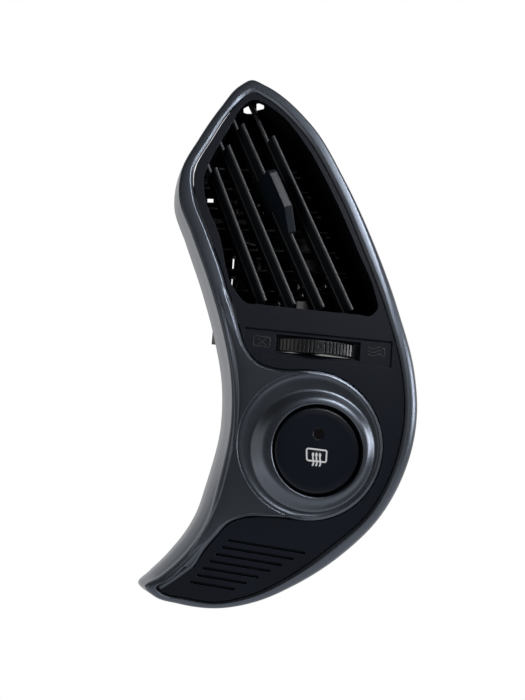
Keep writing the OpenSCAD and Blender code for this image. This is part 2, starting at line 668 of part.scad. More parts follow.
module vane_knob()
    color([0.08, 0.08, 0.085]) slat_frame(knob_slat) rotate([0, 0, slat_rest])
        translate([0, 0, knob_at]) difference() {
            union() {
                translate([-knob_grip / 2, -slat_fore - 1.4, -9]) cube([knob_grip, 14.6, 16]);
                // Grip with its ridge
                translate([-knob_grip / 2, 0, 0]) rotate([90, 0, 90]) linear_extrude(knob_grip)
                    polygon([[-slat_fore - 1, 7], [-slat_fore - 6.4, 6.4], [-slat_fore - 7.4, 4.6],
                        [-slat_fore - 7.4, 6.4 - knob_ridge], [-slat_fore - 1, -24.5],
                        [-slat_fore + 0.6, -25], [-slat_fore + 0.6, -8]]);
                for (s = [-1, 1]) translate([-1.5, 3, s * (fork_gap / 2 + 0.9) - 0.9])
                    cube([3, fork_r + 1.5, 1.8]);
            }
            translate([0, 0, -30]) linear_extrude(60)
                polygon([[-slat_edge / 2 - run, -slat_fore - 0.2], [slat_edge / 2 + run, -slat_fore - 0.2],
                    [slat_edge / 2 + run, -slat_fore + 1], [0.75, slat_aft], [0.75, slat_aft + 0.4],
                    [-0.75, slat_aft + 0.4], [-0.75, slat_aft], [-slat_edge / 2 - run, -slat_fore + 1]]);
            translate([0, 0, -30]) cylinder(r = slat_pin_r + 0.15, h = 60, $fn = fine);
        }

// Rear vanes

module rear_vane(k)
    color([0.05, 0.05, 0.055]) duct_frame() translate([0, vane_pivot, vane_w(k)]) {
        x = crossings(duct_inner, vane_w(k));
        left = min(x);
        right = max(x);
        half = vane_chord / 2;
        difference() {
            translate([left + vane_end_gap, 0, 0]) rotate([90, 0, 90])
                linear_extrude(right - left - 2 * vane_end_gap) {
                    polygon([[-half + 0.6, -0.6], [0, -vane_thick / 2], [half - 0.5, -0.5],
                        [half - 0.5, 0.5], [0, vane_thick / 2], [-half + 0.6, 0.6]]);
                    translate([-half + 0.6, 0]) circle(r = 0.6, $fn = 20);
                    translate([half - 0.5, 0]) circle(r = 0.5, $fn = 20);
                    circle(r = vane_pin_r, $fn = 32);
                }
            translate([link_x - 1.6, 1.9, -3]) cube([3.2, 12, 6]);
            if (k == driven)
                translate([bar_x - 13.5, -half - 1, -3]) cube([27, half - 1.2, 6]);
        }
        translate([left - 1.4, 0, 0]) rotate([0, 90, 0])
            cylinder(r = vane_pin_r, h = right - left + 2.8, $fn = fine);
        translate([link_x - 2, vane_link_r, 0]) rotate([0, 90, 0])
            cylinder(r = vane_link_pin, h = 4, $fn = 24);
        if (k == driven) fork_bar();
    }

// Bar in front of the driven vane, square to the third slat, on two arms
bar_half = 12;
module fork_bar() {
    reach = slat_pivot + fork_r - vane_pivot;
    translate([bar_x, reach, 0]) rotate([0, 90 - lean(knob_slat), 0])
        translate([0, 0, -bar_half]) cylinder(r = fork_bar_r, h = 2 * bar_half, $fn = fine);
    for (s = [-1, 1]) let (x = bar_x + s * bar_half * cos(lean(knob_slat)),
        z = s * bar_half * sin(lean(knob_slat)))
        translate([x + s * 1 - 1, 0, 0]) rotate([90, 0, 90]) linear_extrude(2)
            polygon([[reach - 1, z - 1.2], [reach + 1, z - 1.2], [-4, -0.6], [0, -0.7], [0, 0.7],
                [-4, 0.6], [reach + 1, z + 1.2], [reach - 1, z + 1.2]]);
}

module rear_vane_link()
    color([0.12, 0.12, 0.13]) duct_frame() translate([link_x - 1, vane_pivot + vane_link_r, 0])
        difference() {
            union() {
                translate([0, -1.2, vane_w(0)]) cube([2, 2.4, vane_w(vane_count - 1) - vane_w(0)]);
                for (k = [0 : vane_count - 1]) translate([0, 0, vane_w(k)]) rotate([0, 90, 0])
                    cylinder(r = 2, h = 2, $fn = fine);
            }
            for (k = [0 : vane_count - 1]) translate([-1, 0, vane_w(k)]) rotate([0, 90, 0])
                cylinder(r = vane_link_pin + pivot_play, h = 4, $fn = fine);
        }

// Shut-off

sector = 78; // Half angle of the wheel sector
plain_half = 5; // Half angle of the plain stretch in the middle of the rim

module thumbwheel()
    color([0.08, 0.08, 0.085]) wheel_frame() difference() {
        union() {
            rotate([0, 0, -90 - sector]) rotate_extrude(angle = 2 * sector, $fn = 180)
                polygon([[0.1, -1.2], [wheel_r - 3.4, -1.2], [wheel_r - 2.8, -wheel_w / 2],
                    [wheel_r - 0.5, -wheel_w / 2], [wheel_r, -wheel_w / 2 + 0.5],
                    [wheel_r, wheel_w / 2 - 0.5], [wheel_r - 0.5, wheel_w / 2],
                    [wheel_r - 2.8, wheel_w / 2], [wheel_r - 3.4, 1.2], [0.1, 1.2]]);
            translate([0, 0, -wheel_w / 2]) cylinder(r = 4.4, h = wheel_w, $fn = fine);
            translate([0, 0, -wheel_w / 2 - slack - 2]) cylinder(r = 2, h = wheel_w + 5.5, $fn = fine);
            translate([-rod_crank, 0, -1.2]) cylinder(r = 3, h = 2.4, $fn = fine);
            translate([-rod_crank, 0, 0])
                cylinder(r = rod_pin_r, h = rod_level + rod_thick, $fn = fine);
        }
        for (s = [-1, 1], k = [0 : 22]) let (a = plain_half + k * rib_pitch / wheel_r * 180 / PI)
            if (a < sector - 3) rotate([0, 0, -90 + s * a])
                translate([wheel_r - 0.7, -0.35, -wheel_w]) cube([2, 0.7, 2 * wheel_w]);
        rotate([0, 0, -90]) translate([wheel_r - 0.4, -0.7, -0.7]) cube([2, 1.4, 1.4]);
    }

rod_pin_r = 1.5;
module wheel_rod() {
    span = norm([damper_dx, rod_len]);
    color([0.13, 0.13, 0.14]) wheel_frame() translate([-rod_crank, 0, rod_level])
        rotate(atan2(-damper_dx, rod_len)) difference() {
            union() {
                translate([-1.6, 0, 0]) cube([3.2, span, rod_thick]);
                for (y = [0, span]) translate([0, y, 0]) cylinder(r = 3, h = rod_thick, $fn = fine);
            }
            for (y = [0, span]) translate([0, y, -1])
                cylinder(r = rod_pin_r + pivot_play, h = rod_thick + 2, $fn = fine);
        }
}

module damper_lever()
    color([0.13, 0.13, 0.14]) wheel_frame() translate([damper_dx, rod_len, 0]) {
        difference() {
            translate([0, 0, rod_level - 2.6]) cylinder(r = 4, h = 4.4, $fn = fine);
            translate([0, 0, rod_level - 3.6]) cylinder(r = 2, h = 8, $fn = fine);
        }
        difference() {
            translate([-rod_crank, -2, rod_level - 2.6]) cube([rod_crank, 4, 2.2]);
            translate([0, 0, rod_level - 3.6]) cylinder(r = 3, h = 8, $fn = fine);
        }
        translate([-rod_crank, 0, rod_level - 2.6]) cylinder(r = 3, h = 2.2, $fn = fine);
        translate([-rod_crank, 0, rod_level - 2.6])
            cylinder(r = rod_pin_r, h = 2.6 + rod_thick, $fn = fine);
    }

// Damper, partly open as the wheel rests
damper_open = 30;
module damper_plate()
    color([0.16, 0.16, 0.17]) translate([collar_cx, damper_y, collar_cz]) rotate([0, tray_slope, 0]) {
        rotate([0, 0, damper_open]) {
            translate([-collar_w / 2 + 2.4, -0.8, -collar_h / 2 + 2.4])
                cube([collar_w - 4.8, 1.6, collar_h - 4.8]);
            translate([0, 0, -collar_h / 2 + 1]) cylinder(r = 3, h = collar_h - 2, $fn = fine);
        }
        translate([0, 0, rod_level - 3.2 - collar_up])
            cylinder(r = 2, h = collar_up + collar_h / 2 + 1.6 - rod_level + 3.2, $fn = fine);
    }

module damper_seal()
    color([0.2, 0.2, 0.2]) translate([collar_cx, damper_y, collar_cz]) rotate([0, tray_slope, 0])
        rotate([0, 0, damper_open]) difference() {
            translate([-collar_w / 2 + 0.5, -1.2, -collar_h / 2 + 0.5])
                cube([collar_w - 1, 2.4, collar_h - 1]);
            translate([-collar_w / 2 + 2.4, -2, -collar_h / 2 + 2.4])
                cube([collar_w - 4.8, 4, collar_h - 4.8]);
            translate([0, 0, -collar_h]) cylinder(r = 3.1, h = 2 * collar_h, $fn = fine);
        }

module duct_gasket()
    color([0.15, 0.15, 0.15]) difference() {
        collar_box(duct_wall, collar_end, collar_end + 4);
        collar_box(0, collar_end - 1, collar_end + 5);
    }

// Switch

module along_switch(y) translate([0, y, switch_z]) rotate([-90, 0, 0]) children();

module switch_housing()
    color([0.11, 0.11, 0.12]) difference() {
        union() {
            along_switch(flange_y) cylinder(r = 24.6, h = 2, $fn = 96);
            for (a = switch_screw_angles) along_switch(flange_y) rotate(-a)
                translate([switch_screw_r, 0, 0]) cylinder(r = 3.6, h = 2, $fn = fine);
            along_switch(flange_y - 5) cylinder(r = guide_r - 0.2, h = 6, $fn = 96);
            along_switch(flange_y) cylinder(r = bore_r, h = 20, $fn = 96);
        }
        along_switch(flange_y - 6)
            cylinder(r = guide_r - 1.8, h = board_y + board_t - flange_y + 6, $fn = 96);
        along_switch(flange_y - 6) cylinder(r = guide_r - 3.8, h = 24.4, $fn = 96);
        // Ring that the cap's skirt dips into
        along_switch(flange_y - 6) difference() {
            cylinder(r = cap_r + slack, h = switch_y + cap_skirt + cap_travel + 7.2 - flange_y, $fn = 96);
            translate([0, 0, -1]) cylinder(r = guide_r - 0.2, h = 24, $fn = 96);
        }
        for (a = switch_screw_angles) along_switch(flange_y - 1) rotate(-a)
            translate([switch_screw_r, 0, 0]) cylinder(r = screw_r + 0.25, h = 4, $fn = 24);
        translate([-9.8, -1, switch_z - 5]) cube([19.6, 10, 10]);
    }

module button_cap()
    color([0.07, 0.07, 0.075]) difference() {
        union() {
            translate([0, switch_y, switch_z]) rotate([-90, 0, 0]) rotate_extrude($fn = 120)
                polygon([[0, -0.6], [cap_r - 3, -0.5], [cap_r - 0.9, -0.3], [cap_r - 0.3, 0],
                    [cap_r, 0.6], [cap_r, cap_skirt], [guide_r, cap_skirt], [guide_r, 1.6], [0, 1.6]]);
            along_switch(switch_y + 1) cylinder(r = 3, h = board_y - 5 - switch_y - 1, $fn = fine);
        }
        translate([0.8, switch_y - 2, -23.8]) rotate([-90, 0, 0])
            cylinder(r = lens_r + 0.02, h = 6, $fn = fine);
    }

module indicator_lens()
    color([0.03, 0.03, 0.03]) translate([0.8, switch_y - 0.4, -23.8]) rotate([-90, 0, 0]) {
        cylinder(r = lens_r, h = 2.6, $fn = fine);
        translate([0, 0, 2.02]) cylinder(r = lens_r + 0.8, h = 0.6, $fn = fine);
    }

module switch_board()
    color([0.1, 0.3, 0.15]) along_switch(board_y) cylinder(r = guide_r - 1.9, h = board_t, $fn = 96);

module push_switch()
    color([0.2, 0.2, 0.2]) difference() {
        translate([-3.5, board_y - 3.4, switch_z - 3.5]) cube([7, 3.4, 7]);
        along_switch(board_y - 4) cylinder(r = 1.7 + run, h = 3.6, $fn = fine);
    }

module switch_plunger()
    color([0.7, 0.7, 0.7]) along_switch(board_y - 5) cylinder(r = 1.7, h = 2.8, $fn = fine);

module lamp(x, z)
    translate([x, board_y, z]) rotate([90, 0, 0]) {
        translate([-1.6, -1.4, 0]) cube([3.2, 2.8, 1.2]);
        translate([0, 0, 1.2]) cylinder(r1 = 1.2, r2 = 0.9, h = 0.7, $fn = fine);
    }

module indicator_lamp() color([0.9, 0.7, 0.3]) lamp(0.8, -23.8);
module legend_lamp() color([0.9, 0.9, 0.9]) lamp(0, switch_z - 9);

module connector_shroud()
    color([0.09, 0.09, 0.1]) difference() {
        union() {
            translate([-9.6, flange_y + 18, switch_z - 4.8]) cube([19.2, 14.5, 9.6]);
            translate([-11, flange_y + 17.2, switch_z - 6]) cube([22, 1.2, 12]);
        }
        translate([-8.2, flange_y + 20.4, switch_z - 3.4]) cube([16.4, 14, 6.8]);
        for (k = [0 : 5]) translate([-6.6 + 2.54 * k, flange_y + 22, switch_z]) rotate([90, 0, 0])
            translate([0, 0, -1]) cylinder(r = 0.52, h = 8, $fn = 24);
    }

module connector_pins()
    color([0.8, 0.7, 0.4]) for (k = [0 : 5])
        translate([-6.6 + 2.54 * k, flange_y + 29, switch_z]) rotate([90, 0, 0])
            cylinder(r = 0.5, h = flange_y + 29 - board_y - board_t, $fn = 24);

// Fasteners

module housing_screws()
    color([0.7, 0.7, 0.7]) for (p = housing_screw_at)
        translate([p.x, ear_front + ear_thick, p.y]) screw(9);

module switch_screws()
    color([0.7, 0.7, 0.7]) for (a = switch_screw_angles) let (
        p = [0, switch_z] + switch_screw_r * [cos(a), sin(a)])
        translate([p.x, flange_y + 2, p.y]) screw(6.6);

// Bent metal clip that straddles each tower
module spring_clips()
    color([0.6, 0.62, 0.65]) for (c = clip_at)
        translate([c.x, 0, c.y]) rotate([0, -c.z, 0]) translate([0, 0, -2.6])
            linear_extrude(5.2) polygon([[-1.7, 1], [-1.2, 8], [1.2, 8], [1.7, 1], [2.9, 3.4],
                [1.9, 8.9], [-1.9, 8.9], [-2.9, 3.4]]);

bezel();
insert_panel();
vent_housing();
front_vane(0);  // front_vane_1
front_vane(1);  // front_vane_2
front_vane(2);  // front_vane_3
front_vane(3);  // front_vane_4
front_vane_link();
vane_knob();
rear_vane(0);  // rear_vane_1
rear_vane(1);  // rear_vane_2
rear_vane(2);  // rear_vane_3
rear_vane(3);  // rear_vane_4
rear_vane(4);  // rear_vane_5
rear_vane(5);  // rear_vane_6
rear_vane(6);  // rear_vane_7
rear_vane(7);  // rear_vane_8
rear_vane_link();
thumbwheel();
wheel_rod();
damper_lever();
damper_plate();
damper_seal();
duct_gasket();
switch_housing();
button_cap();
indicator_lens();
switch_board();
push_switch();
switch_plunger();
indicator_lamp();
legend_lamp();
connector_shroud();
connector_pins();
housing_screws();
switch_screws();
spring_clips();
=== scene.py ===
"""Looks of the side air vent: its finishes, moulded surfaces, symbols, light and camera."""

import logging
import math
from dataclasses import dataclass, field
from enum import Enum

import bpy
import numpy as np
from mathutils import Matrix, Vector


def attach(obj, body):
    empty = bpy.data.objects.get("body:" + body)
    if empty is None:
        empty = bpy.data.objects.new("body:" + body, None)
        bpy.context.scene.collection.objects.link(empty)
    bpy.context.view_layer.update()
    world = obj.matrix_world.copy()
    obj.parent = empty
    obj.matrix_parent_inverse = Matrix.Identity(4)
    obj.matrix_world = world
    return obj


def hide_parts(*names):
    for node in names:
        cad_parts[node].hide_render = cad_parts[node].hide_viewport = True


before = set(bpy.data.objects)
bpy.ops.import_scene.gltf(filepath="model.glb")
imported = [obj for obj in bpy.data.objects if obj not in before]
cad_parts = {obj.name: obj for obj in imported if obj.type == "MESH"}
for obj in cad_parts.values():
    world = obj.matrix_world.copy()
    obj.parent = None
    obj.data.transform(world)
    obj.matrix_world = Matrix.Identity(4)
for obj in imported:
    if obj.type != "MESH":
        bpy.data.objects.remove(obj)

MM = 0.001

log = logging.getLogger("air_vent")


class Body(Enum):
    """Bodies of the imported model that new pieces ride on."""

    FRAME = "frame"
    SWITCH_CAP = "switch_cap"


@dataclass(frozen=True)
class FaceShape:
    """The curved front face, in millimetres, as the part's source has it.

    The face is a cylinder about a level axis behind the panel. Depth runs along +Y.

    Attributes:
        radius: radius of the cylinder.
        crest_z: height at which the face lies farthest forward.
        bezel_depth: distance of that crest from the seating plane.
    """

    radius: float = 700.0
    crest_z: float = -17.5
    bezel_depth: float = 28.0

    def y(self, z: np.ndarray | float, inset: np.ndarray | float = 0.0) -> np.ndarray:
        """Depth of the face moved in by an inset.

        Args:
            z: heights, in millimetres.
            inset: distance behind the face.

        Returns:
            The depth y: axis depth minus the root of (radius - inset) squared less height squared.
        """
        rise = np.asarray(z, float) - self.crest_z
        return self.radius - self.bezel_depth - np.sqrt((self.radius - inset) ** 2 - rise**2)


FACE = FaceShape()


# Finishes

NOISE_SPAN = {"From Min": 0.3, "From Max": 0.7}
CLOUDS_PER_METRE = 45.0
NOISE_ROUGHNESS = 0.55
GLOSS_GRAIN = 0.35
GLOSS_DRIFT = 0.12
COAT_ROUGHNESS = 0.12
EDGE_SAMPLES = 4
WORN_REACH = 1.5
WORN_COSINE = 0.8


@dataclass(frozen=True)
class Finish:
    """A dull or satin surface with a fine grain, faint clouds and softly rounded edges.

    Attributes:
        name: plain name of the finish.
        colour: base colour, linear.
        roughness: mean roughness.
        grain: size of the grain's bumps, in metres.
        depth: height of the grain, in metres.
        metallic: share of metal in the surface.
        edge: radius at which sharp edges catch the light, in metres.
        cloud: how much the colour drifts across the surface.
        coat: thickness of a clear coat, from 0 to 1.
        spec: level of the plain reflection.
        wear: how much paler the edges are.
    """

    name: str
    colour: tuple[float, float, float]
    roughness: float
    grain: float = 0.0004
    depth: float = 0.00001
    metallic: float = 0.0
    edge: float = 0.0003
    cloud: float = 0.12
    coat: float = 0.0
    spec: float = 0.5
    wear: float = 0.0

    def make(self) -> bpy.types.Material:
        """The node material of this finish, made once.

        Returns:
            The material: noise clouds tint the base colour and the roughness, and a finer noise
            lifts the surface by a bump on top of rounded edges.
        """
        name = self.name + "_finish"
        known = bpy.data.materials.get(name)
        if known:
            return known
        material = bpy.data.materials.new(name)
        net = Net(material)
        where = net.add("ShaderNodeTexCoord").outputs["Object"]
        cloud = net.noise(where, CLOUDS_PER_METRE, 3.0)
        fine = net.noise(where, GLOSS_GRAIN / self.grain, 2.0)
        grain = net.noise(where, 1.0 / self.grain, 1.0)
        tint = net.add("ShaderNodeMapRange", {
            "Value": cloud, **NOISE_SPAN, "To Min": 1.0 - self.cloud, "To Max": 1.0 + self.cloud})
        colour = net.scale(self.colour, tint.outputs[0])
        if self.wear:
            colour = net.worn(colour, self.wear, self.edge)
        rough = net.add("ShaderNodeMapRange", {
            "Value": fine, **NOISE_SPAN, "To Min": self.roughness * (1.0 - GLOSS_DRIFT),
            "To Max": min(1.0, self.roughness * (1.0 + GLOSS_DRIFT))})
        rounded_edge = net.add("ShaderNodeBevel", {"Radius": self.edge})
        rounded_edge.samples = EDGE_SAMPLES
        bump = net.add("ShaderNodeBump", {
            "Strength": 1.0, "Distance": self.depth, "Height": grain,
            "Normal": rounded_edge.outputs[0]})
        shader = net.add("ShaderNodeBsdfPrincipled", {
            "Base Color": colour, "Roughness": rough.outputs[0], "Metallic": self.metallic,
            "Coat Weight": self.coat, "Coat Roughness": COAT_ROUGHNESS,
            "Specular IOR Level": self.spec, "Normal": bump.outputs[0]})
        net.add("ShaderNodeOutputMaterial", {"Surface": shader.outputs[0]})
        return material


class Net:
    """Small helper that adds and links the nodes of one material or world."""

    def __init__(self, owner: bpy.types.Material | bpy.types.World) -> None:
        """Empties the owner's node tree and keeps it."""
        owner.use_nodes = True
        self.tree = owner.node_tree
        self.tree.nodes.clear()

    def add(self, kind: str, inputs: dict[str | int, object] | None = None,
            operation: str = "") -> bpy.types.Node:
        """Adds a node.

        Args:
            kind: Blender's name of the node type.
            inputs: what its sockets get, by name or number: a constant, or a socket to link.
            operation: what a math node does.

        Returns:
            The new node.
        """
        node = self.tree.nodes.new(kind)
        if operation:
            node.operation = operation
        for name, value in (inputs or {}).items():
            if isinstance(value, bpy.types.NodeSocket):
                self.tree.links.new(value, node.inputs[name])
            else:
                node.inputs[name].default_value = value
        return node

    def gloss(self, seen: bpy.types.Node) -> bpy.types.NodeSocket:
        """One for glossy and transmission rays, nought for the rest.

        Args:
            seen: the Light Path node.

        Returns:
            The larger of its two outputs.
        """
        node = self.add("ShaderNodeMath", {
            0: seen.outputs["Is Glossy Ray"], 1: seen.outputs["Is Transmission Ray"]}, "MAXIMUM")
        return node.outputs[0]

    def noise(self, where: bpy.types.NodeSocket, scale: float,
              detail: float) -> bpy.types.NodeSocket:
        """Adds a noise texture.

        Args:
            where: the coordinates it reads.
            scale: features per metre.
            detail: number of finer layers.

        Returns:
            Its grey output.
        """
        node = self.add("ShaderNodeTexNoise", {
            "Vector": where, "Scale": scale, "Detail": detail, "Roughness": NOISE_ROUGHNESS})
        return node.outputs[0]

    def scale(self, colour: tuple[float, float, float] | bpy.types.NodeSocket,
              factor: bpy.types.NodeSocket) -> bpy.types.NodeSocket:
        """A colour times a changing factor.

        Args:
            colour: the colour, a constant or a socket.
            factor: the socket it is multiplied by.

        Returns:
            The product's socket.
        """
        node = self.add("ShaderNodeVectorMath", {0: colour, "Scale": factor}, "SCALE")
        return node.outputs[0]

    def worn(self, colour: bpy.types.NodeSocket, amount: float,
             edge: float) -> bpy.types.NodeSocket:
        """Pales a colour where the surface turns sharply.

        Args:
            colour: the colour to change.
            amount: how much paler an edge is.
            edge: radius of the edge, in metres.

        Returns:
            The changed colour: the angle between the true and the rounded normal steers it.
        """
        soft = self.add("ShaderNodeBevel", {"Radius": edge * WORN_REACH})
        soft.samples = EDGE_SAMPLES
        true = self.add("ShaderNodeNewGeometry")
        dot = self.add("ShaderNodeVectorMath", {
            0: soft.outputs[0], 1: true.outputs["Normal"]}, "DOT_PRODUCT")
        band = self.add("ShaderNodeMapRange", {
            "Value": dot.outputs["Value"], "From Min": WORN_COSINE, "From Max": 1.0,
            "To Min": 1.0 + amount, "To Max": 1.0})
        return self.scale(colour, band.outputs[0])


BEZEL_GREY = Finish(
    "satin_grey_paint", (0.078, 0.089, 0.110), 0.34, grain=0.0002, depth=0.0000012,
    metallic=0.88, cloud=0.06)
INSERT_BLACK = Finish(
    "insert_black", (0.0026, 0.0044, 0.0096), 0.5, grain=0.00035, depth=0.000012, edge=0.0004,
    spec=0.15, wear=0.5)
DUCT_BLACK = Finish(
    "duct_black", (0.0020, 0.0023, 0.0034), 0.6, grain=0.0006, depth=0.000006, spec=0.2)
VANE_BLACK = Finish(
    "vane_black", (0.0085, 0.0105, 0.0150), 0.42, grain=0.0005, depth=0.000006, edge=0.0006,
    wear=0.8)
KNOB_BLACK = Finish(
    "knob_gloss", (0.0070, 0.0105, 0.0160), 0.34, grain=0.0006, depth=0.000002, edge=0.0007,
    spec=0.12)
CAP_BLACK = Finish(
    "cap_black", (0.0020, 0.0040, 0.0088), 0.34, grain=0.00022, depth=0.000004, edge=0.0009,
    cloud=0.05, spec=0.3)
WHEEL_BLACK = Finish("wheel_black", (0.0085, 0.0095, 0.0120), 0.36, grain=0.0003, depth=0.000008)
LENS_DARK = Finish(
    "lens_dark", (0.006, 0.005, 0.006), 0.12, grain=0.002, depth=0.000001, edge=0.0002,
    cloud=0.05, coat=0.6)
FOAM = Finish(
    "seal_foam", (0.022, 0.022, 0.024), 0.95, grain=0.0012, depth=0.00022, edge=0.0006,
    cloud=0.3)
BOARD = Finish(
    "board_green", (0.010, 0.055, 0.022), 0.3, grain=0.0009, edge=0.0002, cloud=0.1, coat=0.4)
PART_DARK = Finish("part_dark", (0.020, 0.020, 0.022), 0.5)
LINK_GREY = Finish("link_grey", (0.035, 0.035, 0.037), 0.48, grain=0.0005, depth=0.000006)
PLUNGER = Finish("plunger_white", (0.62, 0.60, 0.55), 0.45, grain=0.0005, depth=0.000006)
LAMP = Finish(
    "lamp_body", (0.70, 0.66, 0.50), 0.2, grain=0.0008, depth=0.000003, edge=0.0002, cloud=0.08,
    coat=0.5)
PIN_METAL = Finish(
    "contact_metal", (0.55, 0.46, 0.27), 0.25, depth=0.000003, metallic=1.0, edge=0.0001)
SCREW_METAL = Finish(
    "zinc_steel", (0.42, 0.43, 0.45), 0.32, grain=0.0003, depth=0.000004, metallic=1.0,
    edge=0.0002)
CLIP_METAL = Finish(
    "spring_steel", (0.26, 0.27, 0.29), 0.3, grain=0.0005, depth=0.000004, metallic=1.0)
MARK_WHITE = Finish(
    "mark_white", (0.62, 0.63, 0.64), 0.5, grain=0.0003, depth=0.000002, edge=0.0001, cloud=0.04)
MARK_DARK = Finish(
    "mark_dark", (0.013, 0.0135, 0.015), 0.4, grain=0.0003, depth=0.000002, edge=0.0002,
    cloud=0.06)

NODE_FINISH = {
    "bezel": BEZEL_GREY, "insert_panel": INSERT_BLACK, "vent_housing": DUCT_BLACK,
    "duct_gasket": FOAM, "switch_housing": DUCT_BLACK, "switch_board": BOARD,
    "push_switch": PART_DARK, "indicator_lamp": LAMP, "legend_lamp": LAMP,
    "connector_shroud": PART_DARK, "connector_pins": PIN_METAL, "housing_screws": SCREW_METAL,
    "switch_screws": SCREW_METAL, "spring_clips": CLIP_METAL, "front_vane_link": LINK_GREY,
    "vane_knob": KNOB_BLACK, "rear_vane_link": LINK_GREY, "thumbwheel": WHEEL_BLACK,
    "wheel_rod": LINK_GREY, "damper_lever": LINK_GREY, "damper_plate": DUCT_BLACK,
    "damper_seal": FOAM, "button_cap": CAP_BLACK, "indicator_lens": LENS_DARK,
    "switch_plunger": PLUNGER}


def dress_nodes() -> None:
    """Gives every node of the frame its finish; the vanes share one."""
    for name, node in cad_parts.items():
        finish = NODE_FINISH.get(name, VANE_BLACK)
        node.data.materials.clear()
        node.data.materials.append(finish.make())
        log.info("%s is dressed in %s", name, finish.name)


# Lines and grids


def unit(v: np.ndarray) -> np.ndarray:
    """Vectors scaled to length one.

    Args:
        v: vectors along the last axis.

    Returns:
        v over its norm.
    """
    return v / np.linalg.norm(v, axis=-1, keepdims=True)


def across(line: np.ndarray, closed: bool = False) -> np.ndarray:
    """Unit vectors that point to the right of a line.

    Args:
        line: samples (n, 2).
        closed: whether the line returns to its start.

    Returns:
        The way (x, z) along the line turned to (z, -x).
    """
    way = unit(np.roll(line, -1, 0) - np.roll(line, 1, 0) if closed else np.gradient(line, axis=0))
    return np.stack([way[:, 1], -way[:, 0]], -1)


def smooth_line(points: tuple[tuple[float, float], ...], steps: int,
                closed: bool) -> np.ndarray:
    """A smooth curve through points, with the tangents that the part's source uses.

    Args:
        points: (x, z) knots in millimetres.
        steps: samples per span.
        closed: whether the curve returns to its start.

    Returns:
        Samples (n, 2). With a, b, c three knots in a row, p and q the distances between them, the
        tangent at b is ((b - a) q / p + (c - b) p / q) / (p + q), and each span is a cubic Hermite
        h(t) = b(2t3 - 3t2 + 1) + tb d(t3 - 2t2 + t) + c(3t2 - 2t3) + tc d(t3 - t2).
    """
    knots = np.asarray(points, float)
    before, after = np.roll(knots, 1, 0), np.roll(knots, -1, 0)
    p = np.linalg.norm(knots - before, axis=1, keepdims=True)
    q = np.linalg.norm(after - knots, axis=1, keepdims=True)
    tangent = ((knots - before) / p * q + (after - knots) / q * p) / (p + q)
    if not closed:
        tangent[0] = unit(knots[1] - knots[0])
        tangent[-1] = unit(knots[-1] - knots[-2])
    ends, end_tangents = after, np.roll(tangent, -1, 0)
    if not closed:
        knots, tangent, ends, end_tangents = knots[:-1], tangent[:-1], ends[:-1], end_tangents[:-1]
    t = (np.arange(steps) / steps)[None, :, None]
    span = np.linalg.norm(ends - knots, axis=1)[:, None, None]
    b, c, tb, tc = (part[:, None, :] for part in (knots, ends, tangent, end_tangents))
    line = (b * (2 * t**3 - 3 * t**2 + 1) + tb * span * (t**3 - 2 * t**2 + t)
            + c * (3 * t**2 - 2 * t**3) + tc * span * (t**3 - t**2)).reshape(-1, 2)
    return line if closed else np.vstack([line, np.asarray(points[-1], float)])


def smooth_values(values: tuple[float, ...], steps: int) -> np.ndarray:
    """A closed row of values, with straight blends between them.

    Args:
        values: one value per knot.
        steps: samples per span.

    Returns:
        The samples: a + (b - a) t.
    """
    a = np.asarray(values, float)[:, None]
    b = np.roll(a, -1, 0)
    return (a + (b - a) * (np.arange(steps) / steps)[None, :]).ravel()


def rounded(sections: np.ndarray, cuts: list[float], steps: int = 5) -> np.ndarray:
    """Closed sections with their corners rounded.

    Args:
        sections: corners (stations, corners, 3).
        cuts: distance from each corner at which its round starts; 0 keeps the corner sharp.
        steps: samples in each round.

    Returns:
        Sections (stations, points, 3). A corner b with neighbours a and c becomes the curve
        (1-t)^2 s + 2t(1-t) b + t^2 e, where s and e lie on its two sides at the cut distance,
        at most 0.45 of the side.
    """
    parts = []
    t = np.linspace(0.0, 1.0, steps)[None, :, None]
    count = sections.shape[1]
    for corner, cut in enumerate(cuts):
        b = sections[:, corner]
        if cut == 0:
            parts.append(b[:, None, :])
            continue
        sides = []
        for other in (sections[:, corner - 1], sections[:, (corner + 1) % count]):
            run = np.linalg.norm(other - b, axis=1, keepdims=True)
            sides.append(b + (other - b) * np.minimum(cut / np.maximum(run, 1e-9), 0.45))
        s, e = (side[:, None, :] for side in sides)
        parts.append((1 - t) ** 2 * s + 2 * t * (1 - t) * b[:, None, :] + t**2 * e)
    return np.concatenate(parts, axis=1)


def refine(sections: np.ndarray, longest: float) -> np.ndarray:
    """Adds points on the long sides of closed sections, so that no quad is stretched far.

    Args:
        sections: points (stations, points, 3).
        longest: longest side to keep, in millimetres.

    Returns:
        The sections with every side longer than that cut evenly: a + (b - a) k / n.
    """
    after = np.roll(sections, -1, 1)
    runs = np.linalg.norm(after - sections, axis=2).max(axis=0)
    parts = []
    for k, run in enumerate(runs):
        t = np.arange(max(1, math.ceil(run / longest))) / max(1, math.ceil(run / longest))
        a, b = sections[:, k, None], after[:, k, None]
        parts.append(a + (b - a) * t[None, :, None])
    return np.concatenate(parts, axis=1)


